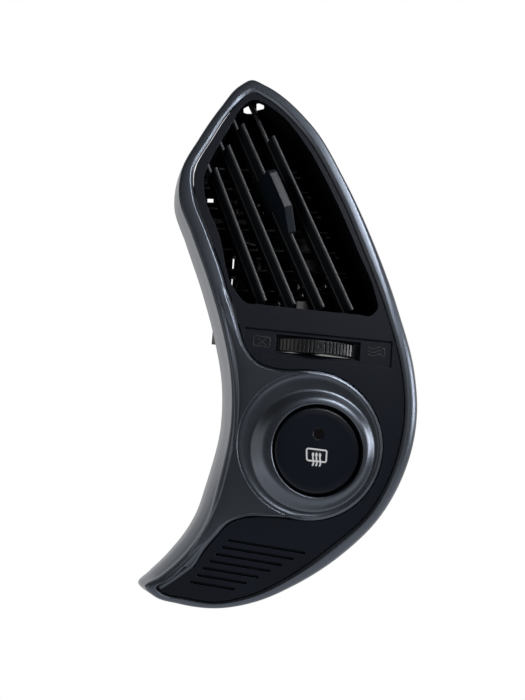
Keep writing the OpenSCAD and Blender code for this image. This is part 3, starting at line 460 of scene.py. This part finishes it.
class Part:
    """One new mesh made from grids, in millimetres until it becomes an object."""

    def __init__(self, name: str) -> None:
        """Starts an empty mesh."""
        self.name = name
        self.vertices: list[np.ndarray] = []
        self.quads: list[np.ndarray] = []
        self.uvs: list[np.ndarray] = []
        self.count = 0

    def loops(self, sections: np.ndarray, closed: bool) -> None:
        """Adds a surface swept through closed sections, its faces turned outwards.

        Args:
            sections: points (stations, points, 3) in millimetres, each section a closed loop.
            closed: whether the last station joins the first; otherwise flat ends close it.
        """
        if self.volume(sections, closed) < 0:
            sections = sections[:, ::-1]
        rows, cols = sections.shape[:2]
        index = np.arange(rows * cols).reshape(rows, cols)
        top = np.vstack([index, index[:1]]) if closed else index
        wide = np.hstack([top, top[:, :1]])
        quads = np.stack([wide[:-1, :-1], wide[1:, :-1], wide[1:, 1:], wide[:-1, 1:]], -1)
        self.add(sections.reshape(-1, 3), quads.reshape(-1, 4), index.shape)
        if not closed:
            for row, flip in ((sections[0], False), (sections[-1], True)):
                self.cap(row, flip)

    def volume(self, sections: np.ndarray, closed: bool) -> float:
        """Six times the signed volume of a swept surface: a . (b x c), summed over its triangles.

        Args:
            sections: as for loops.
            closed: as for loops.

        Returns:
            The volume, below nought where the faces point inwards.
        """
        top = np.concatenate([sections, sections[:1]]) if closed else sections
        wide = np.concatenate([top, top[:, :1]], axis=1)
        a, b, c, d = wide[:-1, :-1], wide[1:, :-1], wide[1:, 1:], wide[:-1, 1:]
        total = (a * np.cross(b, c)).sum() + (a * np.cross(c, d)).sum()
        for ring, sign in () if closed else ((sections[0], 1), (sections[-1], -1)):
            total += sign * (ring * np.cross(np.roll(ring, -1, axis=0), ring.mean(axis=0))).sum()
        return float(total)

    def cap(self, ring: np.ndarray, flip: bool) -> None:
        """Closes a flat end with a fan of quads and triangles round its middle.

        Args:
            ring: points (n, 3) of the end.
            flip: whether its outside is behind it.
        """
        middle = ring.mean(axis=0, keepdims=True)
        n = len(ring)
        near = np.arange(n)
        after = np.roll(near, -1)
        fan = np.stack([near, after, np.full(n, n), np.full(n, n)], -1)
        self.add(np.vstack([ring, middle]), fan[:, [1, 0, 2, 3]] if flip else fan, (1, n + 1))

    def add(self, points: np.ndarray, quads: np.ndarray, shape: tuple[int, int]) -> None:
        """Adds points and quads; a quad whose last two corners agree is a triangle.

        Args:
            points: (n, 3) in millimetres.
            quads: (m, 4) indices into them.
            shape: rows and columns of the points, for the UV map.
        """
        u, v = np.meshgrid(np.linspace(0, 1, shape[1]), np.linspace(0, 1, shape[0]))
        self.uvs.append(np.stack([u.ravel(), v.ravel()], -1))
        self.vertices.append(points)
        self.quads.append(quads + self.count)
        self.count += len(points)

    def build(self, body: Body, finish: Finish, slot: str, replaces: tuple[str, ...] = (),
              sharp: float = 40.0) -> bpy.types.Object:
        """Makes the object, in metres, and lets it ride on its body.

        Args:
            body: the body it rides on.
            finish: its finish.
            slot: not used.
            replaces: CAD nodes that it takes the place of.
            sharp: angle above which an edge stays sharp, in degrees.

        Returns:
            The object.
        """
        points = np.vstack(self.vertices) * MM
        quads = np.vstack(self.quads)
        triangle = quads[:, 2] == quads[:, 3]
        corners = np.where(triangle, 3, 4)
        keep = np.ones(quads.shape, bool)
        keep[triangle, 3] = False
        mesh = bpy.data.meshes.new(self.name)
        mesh.vertices.add(len(points))
        mesh.vertices.foreach_set("co", points.ravel())
        mesh.loops.add(int(corners.sum()))
        loop_points = quads[keep]
        mesh.loops.foreach_set("vertex_index", loop_points)
        mesh.polygons.add(len(quads))
        starts = np.concatenate([[0], np.cumsum(corners)[:-1]])
        mesh.polygons.foreach_set("loop_start", starts)
        mesh.update(calc_edges=True)
        uv = mesh.uv_layers.new(name="UVMap")
        uv.data.foreach_set("uv", np.vstack(self.uvs)[loop_points].ravel())
        mesh.validate()
        mesh.polygons.foreach_set("use_smooth", np.ones(len(mesh.polygons), bool))
        mesh.set_sharp_from_angle(angle=math.radians(sharp))
        mesh.materials.append(finish.make())
        piece = bpy.data.objects.new(self.name, mesh)
        bpy.context.scene.collection.objects.link(piece)
        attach(piece, body.value)
        if replaces:
            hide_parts(*replaces)
        log.info("%s: %d points, rides on %s", self.name, len(points), body.value)
        return piece


# Bezel


@dataclass
class Bezel:
    """The moulded surround: its rim, the flank beside the insert and the dish of the switch.

    Lines are (x, z) in millimetres on the face, as in the part's source.

    Attributes:
        part: the mesh that everything is added to.
        wall: thickness of the moulding.
        slope: width of the slope beside the insert.
        lip: depth to which the rim reaches behind the face.
        steps: samples per span of the rim's lines.
        switch_z: height of the switch's middle; its x is 0.
        bore: radius of the opening for the switch cap.
        dish_centre: middle of the dish's outer circle.
        dish_r: radius of that circle.
        ring_top: how far the ring's inner edge stands before the face at the switch's middle.
        ring_crest: the same where the ring's slope begins.
        ring_reach: distance from the bore to that place on the upper right.
        foot_reach: distance from the bore to the slope's foot on the upper right.
        broad_side: direction in which ring and slope are broadest, in degrees.
        border: how far the flank's borders lie behind the face, from edge to sheet.
        border_width: width of those borders.
        sunk: how far the flank's ends dip.
        boss_r: radius of the screw bosses.
        ear_front: depth at which the housing's ears lie on the bosses.
        switch_screw_r: distance of the switch's screws from its middle.
        screws: places of the housing's screws.
        clips: places and turns of the towers of the spring clips.
        outer: the rim's outline.
        inner: the rim's inner edge; its points pair with those of outer.
        flare: how far the wall leans out at each pair.
        soft: rounding of the outer edge at each pair.
        under: how far the rim's crest dips under the flank at each pair.
        above: the flank's edge from its upper tip to the dish.
        below: the same from the dish to the tail.
        tail: the edge's last stretch.
        left: the flank's left border.
    """

    part: Part = field(default_factory=lambda: Part("bezel_moulding"))
    wall: float = 2.2
    slope: float = 1.4
    lip: float = 3.4
    steps: int = 12
    switch_z: float = -31.5
    bore: float = 21.1
    dish_centre: tuple[float, float] = (-3.2, -29.0)
    dish_r: float = 32.8
    ring_top: float = 2.35
    ring_crest: float = 1.95
    ring_reach: float = 2.9
    foot_reach: float = 6.2
    broad_side: float = 205.0
    border: tuple[float, ...] = (0.3, 0.05, -0.1, -0.16)
    border_width: float = 1.4
    sunk: float = 0.42
    boss_r: float = 2.4
    ear_front: float = -12.0
    switch_screw_r: float = 27.4
    screws: tuple[tuple[float, float], ...] = ((-38.34, 24.5), (38.8, 27.1), (-58.76, 91.71))
    clips: tuple[tuple[float, float, float], ...] = (
        (41.9, 13, 12), (37.8, -37.7, -24), (-4.9, -84.1, -60), (-41.8, -45.1, 166),
        (-35.2, 5.6, 186), (-27, 145.6, 90))
    outer: tuple[tuple[float, float], ...] = (
        (-27, 151), (-20.5, 148.3), (1.5, 128), (17, 99), (30.3, 67), (41, 35.5), (48.2, 5),
        (48.9, -14), (43.5, -38.5), (31, -61), (12, -79), (-10, -92.5), (-27, -99.3), (-45, -102),
        (-62, -99.8), (-73, -96.3), (-77.3, -92), (-70, -87), (-59.7, -77.8), (-50.3, -64),
        (-44.5, -44.5), (-39.6, -20), (-39.6, 1.5), (-43.5, 23.3), (-49.7, 45.7), (-57.5, 68.6),
        (-63.5, 87), (-62.2, 100.4), (-53.7, 117.4), (-42.6, 135.2), (-33, 147.5))
    inner: tuple[tuple[float, float], ...] = (
        (-26.8, 144.2), (-20.8, 141.5), (-4, 125), (11.2, 97), (24, 64.3), (34.5, 33.5),
        (41.2, 4), (41.9, -12.5), (36.3, -38.5), (24, -60), (7.5, -74.2), (-13.5, -88.7),
        (-29, -96), (-46, -99.3), (-60, -97.2), (-69, -95), (-71.6, -93), (-66, -89.8), (-56, -81),
        (-46.3, -67.5), (-39, -45.5), (-34, -20), (-34, 2), (-38.2, 23.5), (-42, 46),
        (-49.5, 69), (-55.8, 87.5), (-56.3, 100), (-47.7, 117.4), (-36.5, 135.2), (-29.8, 142.3))
    flare: tuple[float, ...] = (
        0, 0, 0, 0, 0, 0, 0, 0, 0, 0, 0, -0.3, -0.6, -0.8, -0.8, 0, 1.5, 3.5, 4.3, 4, 2.6,
        1.4, 0.9, 0.7, 0.6, 0.6, 0.5, 0.4, 0.3, 0.2, 0)
    soft: tuple[float, ...] = (
        1.4, 1.2, 1.3, 1.9, 3.2, 5.0, 6.6, 6.8, 6.0, 5.0, 4.2, 3.6, 3.0, 2.6, 2.4, 2.0, 2.0, 4.0,
        5.0, 5.0, 3.6, 2.2, 1.5, 1.2, 1.1, 1.1, 1.1, 1.1, 1.2, 1.3, 1.5)
    under: tuple[float, ...] = (
        0, 0, 0, 0, 0, 0, 0, 0, 0, 0, 0, 0, 0, 0, 0, 0, 0, 0, 0.35, 0.6, 1.0, 1.1, 1.0, 0.6,
        0.25, 0, 0, 0, 0, 0, 0)
    above: tuple[tuple[float, float], ...] = (
        (-42.0, 46), (-39.3, 37.8), (-35.4, 23.5), (-33, 16), (-27.5, 9), (-17, 5.6), (-4, 5.6))
    below: tuple[tuple[float, float], ...] = (
        (-6, -62.6), (-22, -61.4), (-33, -61.6), (-40.5, -64.5), (-45.2, -69.5), (-51, -76.4),
        (-55.5, -83.5))
    tail: tuple[tuple[float, float], ...] = ((-60.3, -87.3), (-65.5, -91.0), (-70.0, -93.8))
    left: tuple[tuple[float, float], ...] = (
        (-47.5, 46), (-41, 24), (-37, 2), (-37, -18), (-41.5, -40), (-47, -58), (-53, -70),
        (-62, -84))

    def place(self, line: np.ndarray, part: np.ndarray | float,
              inset: np.ndarray | float) -> np.ndarray:
        """Points over a line of the face.

        Args:
            line: (x, z) samples.
            part: share of the depth from the seating plane to the face.
            inset: distance behind that depth.

        Returns:
            Points (x, part * face(z) + inset, z).
        """
        return np.stack([line[:, 0], part * FACE.y(line[:, 1]) + inset, line[:, 1]], -1)

    def rim(self) -> None:
        """Sweeps the rim's section along its outline.

        The section runs from the seating plane up the flaring wall, round the outer edge on the
        quarter ellipse (c (1 - cos a), 1.15 c (1 - sin a)) with its own softness c at each
        station, over the land to its crest, down the slope beside the insert and back behind.
        """
        p = smooth_line(self.outer, self.steps, True)
        q = smooth_line(self.inner, self.steps, True)
        flare = smooth_values(self.flare, self.steps)[:, None]
        w = np.linalg.norm(q - p, axis=1, keepdims=True)
        u = (q - p) / w
        lip = np.minimum(1.4, w * 0.3)
        wall = np.minimum(self.wall, w * 0.5)
        slope = np.minimum(self.slope, w * 0.3)
        under = smooth_values(self.under, self.steps)[:, None]
        soft = np.minimum(smooth_values(self.soft, self.steps)[:, None], 0.96 * (w - slope))
        turn = np.radians(np.linspace(0, 90, 9))
        arc = tuple((soft * (1 - math.cos(a)), 1, 1.15 * soft * (1 - math.sin(a)), 0) for a in turn)
        corners = (
            (-flare, 0, 0, 0.3), (-0.9 * flare, 0.4, 0, 6), (-0.35 * flare, 0.7, 0, 0), *arc,
            (w - slope, 1, under - 0.1, 0.4), (w, 1, 1.3, 0.3), (w, 1, self.lip, 0),
            (w - lip, 1, self.lip, 0), (w - lip, 1, self.wall + 0.3, 0),
            (wall, 1, self.wall + 0.8, 0.8),
            (wall - 0.8 * flare, 0.55, 0, 3), (wall - flare, 0, 0, 0.3))
        section = np.stack([
            self.place(p + u * s, share, inset[:, 0] if np.ndim(inset) else inset)
            for s, share, inset, _ in corners], 1)
        self.part.loops(refine(rounded(section, [c[3] for c in corners]), 3.0), True)

    def edge_line(self) -> np.ndarray:
        """The edge beside the insert, from the flank's upper tip round the dish to the tail."""
        radius = self.dish_r + self.slope + 0.1
        a = np.radians(np.linspace(76, -84, 90))
        arc = np.array(self.dish_centre) + radius * np.stack([np.cos(a), np.sin(a)], -1)
        return np.vstack([smooth_line(self.above, 10, False), arc,
                          smooth_line(self.below + self.tail, 10, False)])

    def edge(self) -> None:
        """Sweeps the sloping edge of the flank, with its lip, along the insert.

        Its first rows sink a little, so that its end hides in the rim.
        """
        line = self.edge_line()
        side = across(line)
        back, broad, narrow = self.lip - 0.4, 2.3, 1.2
        corners = ((broad, 2.4, 0), (narrow, 2.4, 0), (narrow, back, 0), (0, back, 0),
                   (0, 1.3, 0.3), (self.slope, 0.0, 0.6), (broad, 0.4, 0))
        sink = np.interp(np.arange(len(line)), (0, 9), (0.4, 0.0))
        section = np.stack([self.place(line + side * s, 1, inset + sink)
                            for s, inset, _ in corners], 1)
        self.part.loops(rounded(section, [c[2] for c in corners]), False)

    def dish(self) -> None:
        """Turns the dish round the switch: bore, rounded ring, its slope, the cove and the edge.

        The section stands on rays from the switch's middle; each ray ends on the dish's circle at
        e.d + sqrt(R2 - (e x d)2), where e leads to the circle's middle and d is the ray. The ring
        and its slope grow broader by the square of (1 + cos(a - broad side)) / 2.
        """
        a = np.radians(np.arange(0, 360, 1.5))
        d = np.stack([np.cos(a), np.sin(a)], -1)
        e = np.array(self.dish_centre) - np.array((0.0, self.switch_z))
        cross = e[0] * d[:, 1] - e[1] * d[:, 0]
        out = d @ e + np.sqrt(self.dish_r**2 - cross**2)
        level = float(FACE.y(self.switch_z))
        far = FACE.y(self.switch_z + out * d[:, 1])
        flat = np.ones_like(out)
        gap = out - self.bore
        lean = (0.5 + 0.5 * np.cos(a - math.radians(self.broad_side))) ** 2
        narrow = np.minimum(self.ring_reach, 0.3 * gap)
        crest = self.bore + narrow * (1 - lean) + 0.3 * gap * lean
        narrow = np.minimum(self.foot_reach, 0.7 * gap)
        foot = self.bore + narrow * (1 - lean) + 0.68 * gap * lean
        cove = self.bore + 0.84 * gap
        near = FACE.y(self.switch_z + foot * d[:, 1])
        low, skirt = self.bore + 5.6, (self.bore + 2.4) * flat
        edge = FACE.y(self.switch_z + (out + 1.2) * d[:, 1]) + 0.015
        rows = (
            (self.bore * flat, level + 9, 0.0), (self.bore * flat, level - 1.8, 0.0),
            (self.bore + 0.5 * flat, level - self.ring_top, 0.35),
            (crest, level - self.ring_crest, 1.9),
            (foot, near + 0.3 + 0.06 * gap, 1.1), (cove, far + 0.2 + 0.045 * gap, 2.4),
            (out - 0.2, far + 0.15, 0.9), (out + 1.2, edge + 0.4, 0.0),
            (out + 1.2, far + self.wall, 0.0), (low * flat, level + 1.5 + self.wall, 0.0),
            (skirt, level + 3.2, 0.0), (skirt, level + 9, 0.0))
        section = np.stack([
            np.stack([r * d[:, 0], y * flat, self.switch_z + r * d[:, 1]], -1)
            for r, y, _ in rows], 1)
        self.part.loops(refine(rounded(section, [c[2] for c in rows], 7), 2.5)[::-1], True)

    def flank(self) -> None:
        """Rules the flank between the rim and the dish or the insert.

        Its sheet runs between a line under the rim's land and the flank's edge; both lines share
        one parameter t, and each row is left(t) + (right(t) - left(t)) s. The sheet stands a little
        over the rim's land, and its borders and ends dip under it.
        """
        middle = np.array(self.dish_centre)
        inset = self.slope + 0.02
        upper, lower = (line + inset * across(line) for line in (
            smooth_line(self.above, 8, False), smooth_line(self.below, 8, False)))
        a = np.radians(np.linspace(91.4, 264.8, 90))
        arc = middle + (self.dish_r + 0.6) * np.stack([np.cos(a), np.sin(a)], -1)
        right = np.vstack([upper, arc, lower])
        rail = smooth_line(self.left, 16, False)
        height = np.concatenate([np.linspace(46, 4.5, len(upper)), np.linspace(4, -57, len(arc)),
                                 np.linspace(-58, -84, len(lower))])
        order = np.argsort(rail[:, 1])
        left = np.stack([np.interp(height, rail[order, 1], rail[order, 0]), height], -1)
        wide = np.linalg.norm(right - left, axis=1)[:, None]
        side = np.minimum(self.border_width, 0.45 * wide) / wide * np.array((0.0, 0.3, 0.6, 1.0))
        core = side[:, -1:] + (1 - 2 * side[:, -1:]) * np.linspace(0, 1, 7)[1:-1]
        s = np.concatenate([side, core, 1 - side[:, ::-1]], axis=1)
        sheet = left[:, None] + (right - left)[:, None] * s[..., None]
        dip = np.array((*self.border, *[self.border[-1]] * core.shape[1], *self.border[::-1]))
        last = len(left) - 1
        start = np.interp(np.arange(last + 1), (0, 20, last - 14, last),
                          (self.sunk, 0.0, 0.0, self.sunk))
        inset = dip[None, :] + start[:, None]
        front = np.stack([sheet[..., 0], FACE.y(sheet[..., 1]) + inset, sheet[..., 1]], -1)
        back = front + np.array([0.0, self.wall, 0.0])
        self.part.loops(np.concatenate([front, back[:, ::-1]], axis=1), False)

    def block(self, place: tuple[float, float], turn: float,
              rows: tuple[tuple[float, float, float, float, float], ...]) -> None:
        """Adds a tapering block of four sides that stands along the depth.

        Args:
            place: (x, z) of its own frame.
            turn: turn of that frame, in degrees.
            rows: depth and the two ends of its rectangle in x and in z, for each row. A corner
                (a, b) lies at place + (a cos t - b sin t, a sin t + b cos t).
        """
        c, n = math.cos(math.radians(turn)), math.sin(math.radians(turn))
        grid = np.array(rows)
        a = grid[:, [1, 1, 2, 2]]
        b = grid[:, [3, 4, 4, 3]]
        y = np.repeat(grid[:, :1], 4, axis=1)
        rings = np.stack([place[0] + a * c - b * n, y, place[1] + a * n + b * c], -1)
        self.part.loops(rings, False)

    def boss(self, place: tuple[float, float], root: float, end: float) -> None:
        """Adds a round screw boss, a circle of points carried along the depth.

        Args:
            place: (x, z) of its axis.
            root: depth at which it starts.
            end: depth of its flat end.
        """
        a = np.radians(np.arange(0, 360, 15))
        y = np.array((root, end - 0.3, end))[:, None]
        r = self.boss_r - np.array((0.0, 0.0, 0.3))[:, None]
        ring = np.stack([place[0] + r * np.cos(a), y + 0 * a, place[1] - r * np.sin(a)], -1)
        self.part.loops(ring, False)

    def back(self) -> None:
        """Adds what the back carries: the screw bosses and the towers of the spring clips."""
        for x, z in self.screws:
            self.boss((x, z), float(FACE.y(z, self.wall)), self.ear_front)
        seat = float(FACE.y(self.switch_z))
        for angle in (90, 210, 330):
            a = math.radians(angle)
            place = (self.switch_screw_r * math.cos(a),
                     self.switch_z + self.switch_screw_r * math.sin(a))
            self.boss(place, seat + 2.4, seat + 9.4)
        for x, z, turn in self.clips:
            self.block((x, z), turn, ((-8, -1.6, 1.6, -4, 4), (-7, -1.6, 1.6, -4, 4),
                                            (7, -1, 1, -3.4, 3.4), (8, -1, 1, -3.4, 3.4)))
            front = max(self.ear_front, float(FACE.y(z, self.wall)))
            for low, high in ((-3, -1.4), (1.4, 3)):
                self.block((x, z), turn, (
                    (front, -1.2, 3.4, low, high), (-2, -1.2, 3.4, low, high),
                    (1, -0.8, 1.2, low + 0.2, high - 0.2)))

    def build(self) -> None:
        """Makes the bezel as one piece that takes the place of the CAD's bezel."""
        self.rim()
        self.edge()
        self.dish()
        self.flank()
        self.back()
        self.part.build(Body.FRAME, BEZEL_GREY, "bezel_grey", ("bezel",))


# Symbols

STROKE_ROOT = 0.05
FINE_LINE = 0.42
TRAY_INSET = 1.7


@dataclass(frozen=True)
class Surface:
    """A surface that carries symbols; this one is the face moved in by an inset.

    Attributes:
        inset: distance behind the face, in millimetres.
    """

    inset: float = 0.0

    def y(self, points: np.ndarray) -> np.ndarray:
        """Depth of the surface at (x, z) points: the face's own depth at that inset."""
        return FACE.y(points[:, 1], self.inset)


@dataclass(frozen=True)
class CapTop(Surface):
    """The front of the switch cap, which bulges slightly.

    Attributes:
        middle_z: height of its middle; its x is 0.
        proud: how far its middle stands before the surface of the inset.
        bulge: how far its rim lies behind its middle.
        radius: radius of that rim.
    """

    middle_z: float = -31.5
    proud: float = 0.6
    bulge: float = 0.1
    radius: float = 16.8

    def y(self, points: np.ndarray) -> np.ndarray:
        """Depth at (x, z) points: level - proud + bulge r / radius, r from the cap's middle."""
        reach = np.hypot(points[:, 0], points[:, 1] - self.middle_z)
        level = float(FACE.y(self.middle_z, self.inset))
        return level - self.proud + self.bulge * reach / self.radius


@dataclass(frozen=True)
class Stroke:
    """One line of a symbol on a surface.

    Attributes:
        points: (x, z) in millimetres.
        width: width of the line.
        closed: whether it returns to its start.
        smooth: samples per span of the curve; 1 keeps it straight.
        heads: widths along the line as shares of width, for pointed ends.
    """

    points: tuple[tuple[float, float], ...]
    width: float
    closed: bool = False
    smooth: int = 5
    heads: tuple[float, ...] = ()

    def sections(self, surface: Surface, height: float) -> np.ndarray:
        """Sections of the line as a low ridge that follows the surface.

        Args:
            surface: the surface that carries it.
            height: how far it stands out.

        Returns:
            Points (stations, 4, 3): line(t) +- side * width / 2 at the surface and at its height.
        """
        line = smooth_line(self.points, self.smooth, self.closed)
        side = across(line, self.closed) * self.width / 2
        if self.heads:
            along = np.linspace(0, 1, len(line))
            share = np.interp(along, np.linspace(0, 1, len(self.heads)), self.heads)
            side = side * share[:, None]
        right, left = line + side, line - side
        corners = ((right, STROKE_ROOT), (right, -height), (left, -height), (left, STROKE_ROOT))
        return np.stack([np.stack([p[:, 0], surface.y(p) + lift, p[:, 1]], -1)
                         for p, lift in corners], 1)


@dataclass(frozen=True)
class Symbol:
    """A generic symbol made of strokes.

    Attributes:
        name: name of the piece.
        strokes: its lines.
        surface: what it lies on.
        height: how far it stands out, in millimetres.
        finish: its finish.
        slot: name of a material slot, handed on to the part's build.
        body: the body it rides on.
    """

    name: str
    strokes: tuple[Stroke, ...]
    surface: Surface
    height: float
    finish: Finish
    slot: str
    body: Body

    def build(self) -> None:
        """Makes the symbol as one thin piece."""
        part = Part(self.name)
        for stroke in self.strokes:
            part.loops(stroke.sections(self.surface, self.height), stroke.closed)
        part.build(self.body, self.finish, self.slot, (), 30.0)


def heated_window() -> Symbol:
    """The plain heated-window symbol of the switch: a window frame and three rising waves."""
    frame_line = Stroke((
        (-4.75, -30.85), (-4.3, -30.55), (0.0, -31.0), (3.95, -31.45), (4.35, -31.85),
        (4.2, -34.2), (4.05, -36.35), (3.6, -36.75), (-0.5, -36.35), (-4.45, -35.95),
        (-4.9, -35.55), (-4.95, -33.3), (-4.95, -31.1)), 0.72, True, 1)
    waves = tuple(
        Stroke(tuple((x + dx, z + dz) for dx, dz in (
            (0.0, 0.0), (-0.03, -1.2), (-0.07, -2.6), (0.12, -4.0), (0.1, -5.0), (-0.35, -6.15))),
            0.74, False, 6, (0.25, 1.5, 1.55, 0.95, 0.95, 1.0, 1.0, 1.0, 1.0, 1.0, 0.95))
        for x, z in ((-2.0, -32.3), (-0.4, -32.4), (1.25, -32.55)))
    return Symbol("heated_window_symbol", (frame_line, *waves), CapTop(), 0.02, MARK_WHITE,
                  "plunger_light", Body.SWITCH_CAP)


def closed_air() -> Symbol:
    """The closed-air symbol left of the wheel: a box crossed out."""
    box = Stroke(((-28.6, 20.9), (-25.0, 20.7), (-21.5, 20.3), (-21.2, 19.9), (-21.35, 18.1),
                  (-21.6, 16.4), (-22.0, 16.1), (-25.2, 16.5), (-28.7, 16.7), (-29.1, 17.1),
                  (-29.05, 18.8), (-28.9, 20.5)), FINE_LINE, True, 3)
    cross = (Stroke(((-27.2, 20.3), (-22.9, 16.7)), FINE_LINE, False, 1),
             Stroke(((-22.9, 20.0), (-27.2, 17.0)), FINE_LINE, False, 1))
    return Symbol("closed_air_symbol", (box, *cross), Surface(TRAY_INSET), 0.1, MARK_DARK,
                  "insert_black", Body.FRAME)


def open_air() -> Symbol:
    """The open-air symbol right of the wheel: three waves of air and a side bar."""
    waves = tuple(
        Stroke(((24.9, z), (26.6, z - 0.9), (28.3, z - 0.9), (30.0, z - 0.1), (31.4, z - 0.5)),
               FINE_LINE, False, 5)
        for z in (17.3, 15.6, 13.9))
    bar = Stroke(((31.9, 16.6), (32.8, 16.2), (32.9, 14.2), (32.5, 12.7), (31.6, 12.5)),
                 FINE_LINE, False, 4)
    return Symbol("open_air_symbol", (*waves, bar), Surface(TRAY_INSET), 0.1, MARK_DARK,
                  "insert_black", Body.FRAME)


# Light and camera


@dataclass(frozen=True)
class SoftBox:
    """A rectangular soft lamp.

    Attributes:
        name: its name.
        place: its middle, in metres.
        target: the point it faces.
        size: width and height, in metres.
        power: power in watts.
        colour: its tint.
    """

    name: str
    place: tuple[float, float, float]
    target: tuple[float, float, float]
    size: tuple[float, float]
    power: float
    colour: tuple[float, float, float] = (1.0, 1.0, 1.0)

    def build(self) -> None:
        """Adds the lamp to the scene."""
        data = bpy.data.lights.new(self.name, "AREA")
        data.shape = "RECTANGLE"
        data.size, data.size_y = self.size
        data.energy = self.power
        data.color = self.colour
        lamp = bpy.data.objects.new(self.name, data)
        bpy.context.scene.collection.objects.link(lamp)
        lamp.location = self.place
        lamp.rotation_mode = "QUATERNION"
        way = Vector(self.target) - Vector(self.place)
        lamp.rotation_quaternion = way.to_track_quat("-Z", "Y")


@dataclass
class Studio:
    """Camera at the photograph's place, soft lamps and a white surround.

    Attributes:
        eye: camera place, in metres.
        look: direction of view.
        right: direction of the picture's right side.
        lens: focal length for the sensor's long side.
        sensor: long side of the sensor, in millimetres.
        clip: nearest and farthest depth the camera sees, in metres.
        dim: level of the surround towards the camera.
        pale: level of the surround behind the part; gloss and glass see it white.
        ramp: the shares of +Y between which the level rises.
        floor_z: height of the floor, in metres.
        floor_half: half the floor's side.
        floor_white: share of plain white that the eye sees in the floor.
        lamps: the soft boxes.
    """

    eye: tuple[float, float, float] = (-0.1115, -0.5729, -0.0633)
    look: tuple[float, float, float] = (0.1549, 0.9781, 0.1392)
    right: tuple[float, float, float] = (0.98769, -0.15643, 0.0)
    lens: float = 62.61
    sensor: float = 36.0
    clip: tuple[float, float] = (0.01, 50.0)
    dim: float = 0.012
    pale: float = 0.7
    ramp: tuple[float, float] = (-0.25, 0.95)
    floor_z: float = -0.4
    floor_half: float = 1.3
    floor_white: float = 0.94
    lamps: tuple[SoftBox, ...] = (
        SoftBox("right_softbox", (0.6, -0.14, 0.08), (0.02, 0.0, 0.0), (0.24, 0.24), 2.5),
        SoftBox("key_softbox", (0.36, -0.50, 0.46), (0.0, 0.0, 0.0), (0.24, 0.20), 4.2),
        SoftBox("left_softbox", (-0.62, -0.55, 0.0), (-0.02, 0.0, 0.0), (0.5, 0.8), 1.4,
                (1.0, 0.97, 0.9)))

    def camera(self) -> None:
        """Makes the camera: its axes are the columns right, up and minus look."""
        data = bpy.data.cameras.new("camera")
        data.lens = self.lens
        data.sensor_width = self.sensor
        camera = bpy.data.objects.new("camera", data)
        bpy.context.scene.collection.objects.link(camera)
        look = Vector(self.look).normalized()
        right = Vector(self.right).normalized()
        up = right.cross(look)
        turn = Matrix((right, up, -look)).transposed().to_4x4()
        camera.matrix_world = Matrix.Translation(self.eye) @ turn
        data.clip_start, data.clip_end = self.clip
        bpy.context.scene.camera = camera

    def world(self) -> None:
        """White to the eye; to gloss and glass white behind the part and dim towards the camera."""
        world = bpy.data.worlds.new("surround")
        bpy.context.scene.world = world
        net = Net(world)
        way = net.add("ShaderNodeTexCoord").outputs["Generated"]
        split = net.add("ShaderNodeSeparateXYZ", {0: way})
        seen = net.add("ShaderNodeLightPath")
        behind = net.add("ShaderNodeMapRange", {
            "Value": net.gloss(seen), "To Min": self.pale, "To Max": 1.0})
        level = net.add("ShaderNodeMapRange", {
            "Value": split.outputs["Y"], "From Min": self.ramp[0], "From Max": self.ramp[1],
            "To Min": self.dim, "To Max": behind.outputs[0]})
        mix = net.add("ShaderNodeMix", {
            0: seen.outputs["Is Camera Ray"], 2: level.outputs[0], 3: 1.0})
        sky = net.add("ShaderNodeBackground", {
            "Color": (1.0, 1.0, 1.0, 1.0), "Strength": mix.outputs[0]})
        net.add("ShaderNodeOutputWorld", {"Surface": sky.outputs[0]})

    def floor(self) -> None:
        """A pale floor well below the part, as white as the surround but for a faint shadow."""
        half, z = self.floor_half, self.floor_z
        mesh = bpy.data.meshes.new("floor")
        mesh.from_pydata([(-half, -half, z), (half, -half, z), (half, half, z), (-half, half, z)],
                         [], [(0, 1, 2, 3)])
        floor = bpy.data.objects.new("floor", mesh)
        bpy.context.scene.collection.objects.link(floor)
        material = bpy.data.materials.new("pale_floor")
        net = Net(material)
        matt = net.add("ShaderNodeBsdfDiffuse", {"Color": (0.8, 0.8, 0.8, 1.0)})
        white = net.add("ShaderNodeEmission", {"Color": (1.0, 1.0, 1.0, 1.0), "Strength": 1.0})
        seen = net.add("ShaderNodeLightPath")
        eye = net.add("ShaderNodeMath", {
            0: seen.outputs["Is Camera Ray"], 1: self.floor_white}, "MULTIPLY")
        share = net.add("ShaderNodeMath", {0: eye.outputs[0], 1: net.gloss(seen)}, "MAXIMUM")
        mix = net.add("ShaderNodeMixShader", {
            0: share.outputs[0], 1: matt.outputs[0], 2: white.outputs[0]})
        net.add("ShaderNodeOutputMaterial", {"Surface": mix.outputs[0]})
        mesh.materials.append(material)

    def build(self) -> None:
        """Makes camera, world, floor and lamps."""
        self.camera()
        self.world()
        self.floor()
        for lamp in self.lamps:
            lamp.build()
        bpy.context.scene.view_settings.view_transform = "Standard"


def main() -> None:
    """Builds the scene in order; the finishes and pieces log what they make."""
    logging.basicConfig(level=logging.INFO, format="%(name)s: %(message)s")
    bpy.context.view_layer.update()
    Studio().build()
    dress_nodes()
    Bezel().build()
    for symbol in (heated_window(), closed_air(), open_air()):
        symbol.build()


if __name__ == "__main__":
    main()
